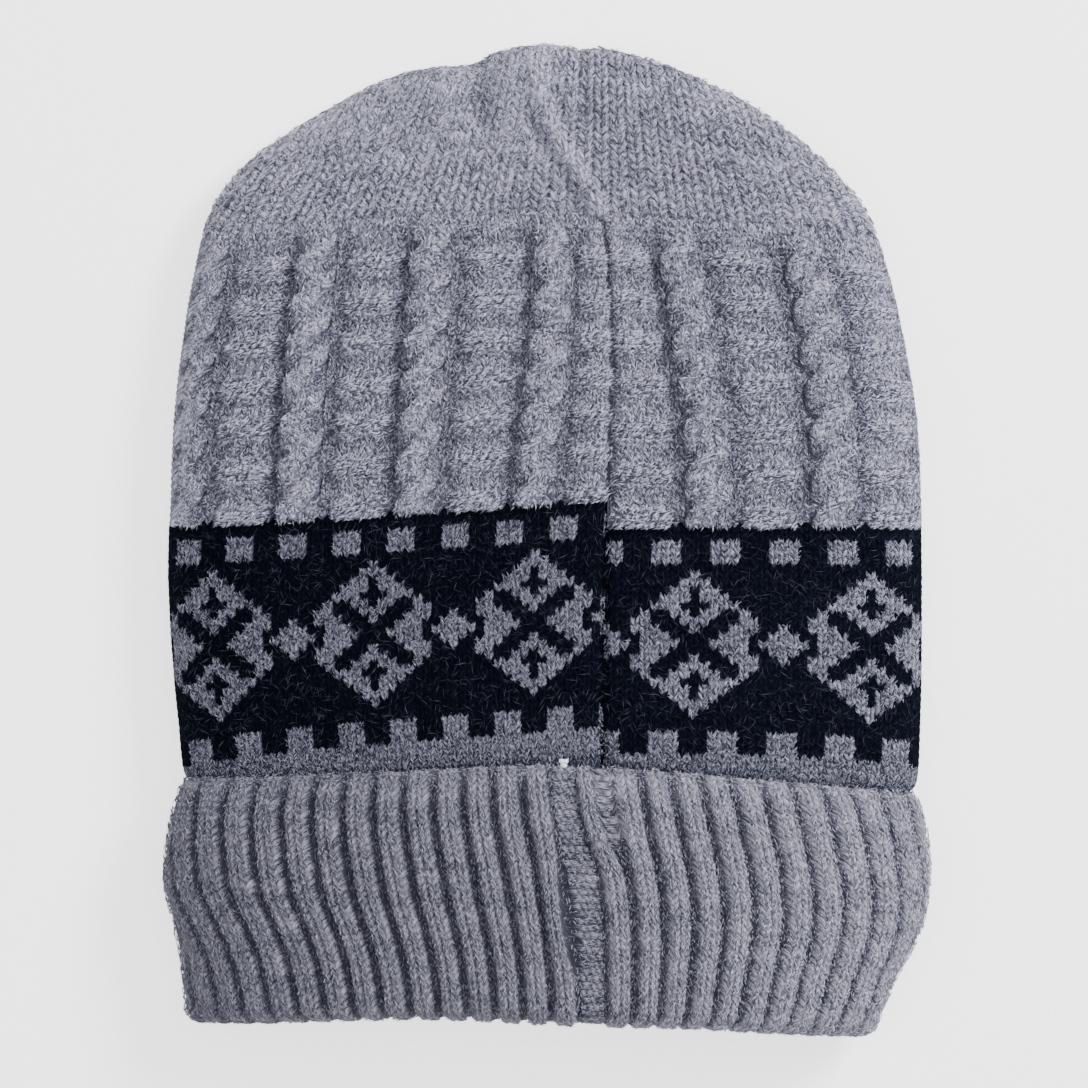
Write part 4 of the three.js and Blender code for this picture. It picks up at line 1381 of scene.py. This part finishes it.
class YarnShader:
    """Node group of the fibres, plies and uneven dye of a yarn, with its painted light, and the
    materials that use it.
    """

    INPUTS = {"Light": "Color", "Deep": "Color", "Tone": "Float", "Painted Light": "Float", "Contrast": "Float"}
    OUTPUTS = {"Color": "Color", "Height": "Float"}

    def __init__(self) -> None:
        """Makes the node group: the colour of the yarn, with painted shade and painted highlights in it,
        and the height of its fibres.
        """
        self.group = bpy.data.node_groups.new("yarn_fibres", "ShaderNodeTree")
        for side, ports in (("INPUT", self.INPUTS), ("OUTPUT", self.OUTPUTS)):
            for name, kind in ports.items():
                kind = "NodeSocket" + kind
                self.group.interface.new_socket(name=name, in_out=side, socket_type=kind)
        entry = self.group.nodes.new("NodeGroupInput").outputs
        leave = self.group.nodes.new("NodeGroupOutput")
        wires = Wiring(self.group)
        where = wires.add("TexCoord", {}).outputs["UV"]

        def noise(scale: tuple[float, float], detail: float, skew: float) -> Socket:
            """Noise over the knitting, stretched by its scale along stitches and rows."""
            place = {"Vector": where, "Scale": (*scale, 1), "Rotation": (0, 0, skew)}
            inputs = {"Vector": wires.add("Mapping", place).outputs["Vector"], "Scale": 1}
            inputs |= {"Detail": detail, "Roughness": 0.6, "Distortion": 0.15}
            return wires.add("TexNoise", inputs, noise_dimensions="2D").outputs["Fac"]

        streaks, specks = noise((80, 240), 1, 0), noise((260, 260), 1, 0.6)
        patches = noise((14, 22), 2, 0)
        streaks, specks = wires.sum("MULTIPLY", streaks, 0.62), wires.sum("MULTIPLY", specks, 0.38)
        fibres = {"Value": wires.sum("ADD", streaks, specks), "From Min": 0.35, "From Max": 0.65}
        spread = wires.add("MapRange", fibres).outputs["Result"]
        share = wires.sum("ADD", wires.swing(spread, 0.5, entry["Contrast"]), 0.5)
        # The painted light input darkens the colour where shade is painted and lightens it where
        # highlights are painted.
        dye, light = (entry["Tone"], 0.5, 0.55), (entry["Painted Light"], 0.8, 0.9)
        for value, middle, gain in (dye, (patches, 0.5, 0.35), light):
            share = wires.sum("ADD", share, wires.swing(value, middle, gain))
        colour = wires.blend(share, entry["Deep"], entry["Light"])
        wires.fill(leave, {"Color": colour, "Height": spread})

    def material(self, name: str, ground: Yarn, motif: Yarn, fibres: bool = False) -> bpy.types.Material:
        """Material of a knitted piece.

        Args:
            name: Name of the material.
            ground: Yarn where the motif is absent.
            motif: Yarn of the motif, or of the whole piece.
            fibres: Whether it is for loose fibres, which carry their own tone.

        Returns:
            The material.
        """
        made = bpy.data.materials.new(name)
        made.use_nodes = True
        wires = Wiring(made.node_tree)
        yarn = wires.add("Attribute", {}, attribute_name="yarn").outputs["Color"]
        parts = wires.add("SeparateColor", {"Color": yarn}).outputs
        inputs = {
            "Roughness": motif.roughness,
            "Sheen Weight": ground.sheen,
            "Sheen Roughness": 0.5,
            "Specular IOR Level": ground.gloss,
        }
        colours = []
        for wool in (ground, motif):
            light, deep = (*wool.light, 1), (*wool.deep, 1)
            if fibres:
                colours.append(wires.blend(parts["Red"], deep, light))
                continue
            ports = {"Light": light, "Deep": deep, "Contrast": wool.contrast}
            ports |= {"Tone": parts["Red"], "Painted Light": parts["Blue"]}
            group = wires.add("Group", ports, node_tree=self.group).outputs
            colours.append(group["Color"])
        if not fibres:
            bump = {"Strength": 0.7, "Distance": 0.35 * MM, "Height": group["Height"]}
            inputs["Normal"] = wires.add("Bump", bump).outputs["Normal"]
        inputs["Base Color"] = wires.blend(parts["Green"], *colours)
        wires.fill(made.node_tree.nodes["Principled BSDF"], inputs)
        return made


def dress(piece: Piece, material: bpy.types.Material, node: str | None = None) -> Piece:
    """Gives a piece its material and its body.

    Args:
        piece: The piece.
        material: Its material.
        node: The CAD node that it stands for.

    Returns:
        The same piece.
    """
    piece.data.materials.append(material)
    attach(piece, BODY)
    if node:
        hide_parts(node)
    log.info("%s: %d faces", piece.name, len(piece.data.polygons))
    return piece


@dataclass
class Studio:
    """Pale floor, soft lights and the camera straight above the cap."""

    frame_width: float = 0.2938
    centre: tuple[float, float] = (-0.000945, -0.00081)
    distance: float = 2.6
    look_height: float = 0.012
    sensor: float = 36

    @staticmethod
    def floor() -> None:
        """Plain pale floor."""
        mesh = bpy.data.meshes.new("floor")
        made = bmesh.new()
        bmesh.ops.create_grid(made, x_segments=1, y_segments=1, size=3)
        bmesh.ops.translate(made, verts=made.verts, vec=(0, 0, -0.0004))
        made.to_mesh(mesh)
        made.free()
        paint = bpy.data.materials.new("pale_floor")
        paint.use_nodes = True
        inputs = {"Base Color": (0.97, 0.97, 0.975, 1), "Roughness": 0.9}
        inputs |= {"Emission Color": (1, 1, 1, 1), "Emission Strength": 1.6}
        Wiring(paint.node_tree).fill(paint.node_tree.nodes["Principled BSDF"], inputs)
        mesh.materials.append(paint)
        ground = linked("floor", mesh)

    @staticmethod
    def light(name: str, place: tuple[float, float, float], size: float, power: float) -> None:
        """Soft square light that faces the cap."""
        lamp = bpy.data.lights.new(name, "AREA")
        lamp.size, lamp.energy = size, power
        lamp.color = (0.97, 0.98, 1.0)
        thing = linked(name, lamp)
        thing.location = place
        thing.rotation_mode = "QUATERNION"
        thing.rotation_quaternion = (-Vector(place)).to_track_quat("-Z", "Y")

    def make(self) -> None:
        """Builds the floor, the lights, the pale surroundings and the camera."""
        self.floor()
        self.light("key", (0.95, 0.75, 0.85), 0.5, 38)
        self.light("fill", (-0.9, -0.2, 1.3), 1.2, 9)
        self.light("top", (0.0, 0.0, 1.8), 1.6, 17)
        scene = bpy.context.scene
        scene.world = scene.world or bpy.data.worlds.new("studio")
        scene.world.use_nodes = True
        sky = scene.world.node_tree
        inputs = {"Color": (0.92, 0.94, 1.0, 1), "Strength": 0.45}
        Wiring(sky).fill(sky.nodes["Background"], inputs)
        lens = bpy.data.cameras.new("camera")
        lens.sensor_width = self.sensor
        lens.lens = self.sensor * self.distance / self.frame_width
        lens.clip_end = 20
        scene.camera = linked("camera", lens)
        scene.camera.location = (*self.centre, self.look_height + self.distance)


def make_cap() -> None:
    rng = np.random.default_rng(SEED)
    shaders = YarnShader()
    grey = shaders.material("heather_knit", GREY_YARN, GREY_YARN)
    banded = shaders.material("diamond_knit", DARK_YARN, MOTIF_YARN)
    ribbed = shaders.material("rib_heather", RIB_YARN, RIB_YARN)
    fuzz = shaders.material("grey_fibres", DARK_YARN, GREY_YARN, fibres=True)
    thread = shaders.material("white_thread", THREAD, THREAD, fibres=True)
    body = Form(BODY_SECTIONS, BODY_FOLDS, CAP_TOP)
    log.info("form of the body measured")
    even = copy.copy(body)
    even.pinch = 0
    fibres = Fibres(rng, length=(1.1, 2.8), width=0.28)
    fine = Fibres(rng, length=(0.9, 2.0), width=0.22)
    hairs = Fibres(rng, length=(1.6, 4.2), width=0.06, loose=1.0, curl=0.012)
    short = Fibres(rng, length=(1.0, 2.2), width=0.24, loose=0.2, dark=0.14, light=0.5, spread=0.28)

    crown, top = Crown(body, rng), Top(even, rng)
    panels = dress(crown.make_body(), grey, "crown")
    crown_parts = [
        dress(top.make(), grey),
        dress(crown.make_cables(), grey),
        dress(crown.make_fibres(fibres, CROWN_FIBRES), fuzz),
        dress(top.make_fibres(fibres, TOP_FIBRES), fuzz),
    ]
    band = PatternBand(body, rng)
    banding = dress(band.make(), banded, "pattern_band")
    band_parts = [
        dress(band.make_fibres(fine, BAND_FIBRES), fuzz),
        dress(band.make_strays(hairs, BAND_HAIRS), fuzz),
    ]
    cuff = Cuff(Form(CUFF_SECTIONS, CUFF_FOLDS, turns=CUFF_TURNS), rng)
    ribbing = dress(cuff.make(), ribbed, "cuff")
    cuff_parts = [
        dress(cuff.make_fibres(short, CUFF_FIBRES), fuzz),
        dress(Knot(cuff).make(), thread),
    ]


def main() -> None:
    """Builds the studio and the cap."""
    logging.basicConfig(level=logging.INFO, format="%(name)s: %(message)s")
    Studio().make()
    make_cap()


if __name__ == "__main__":
    main()
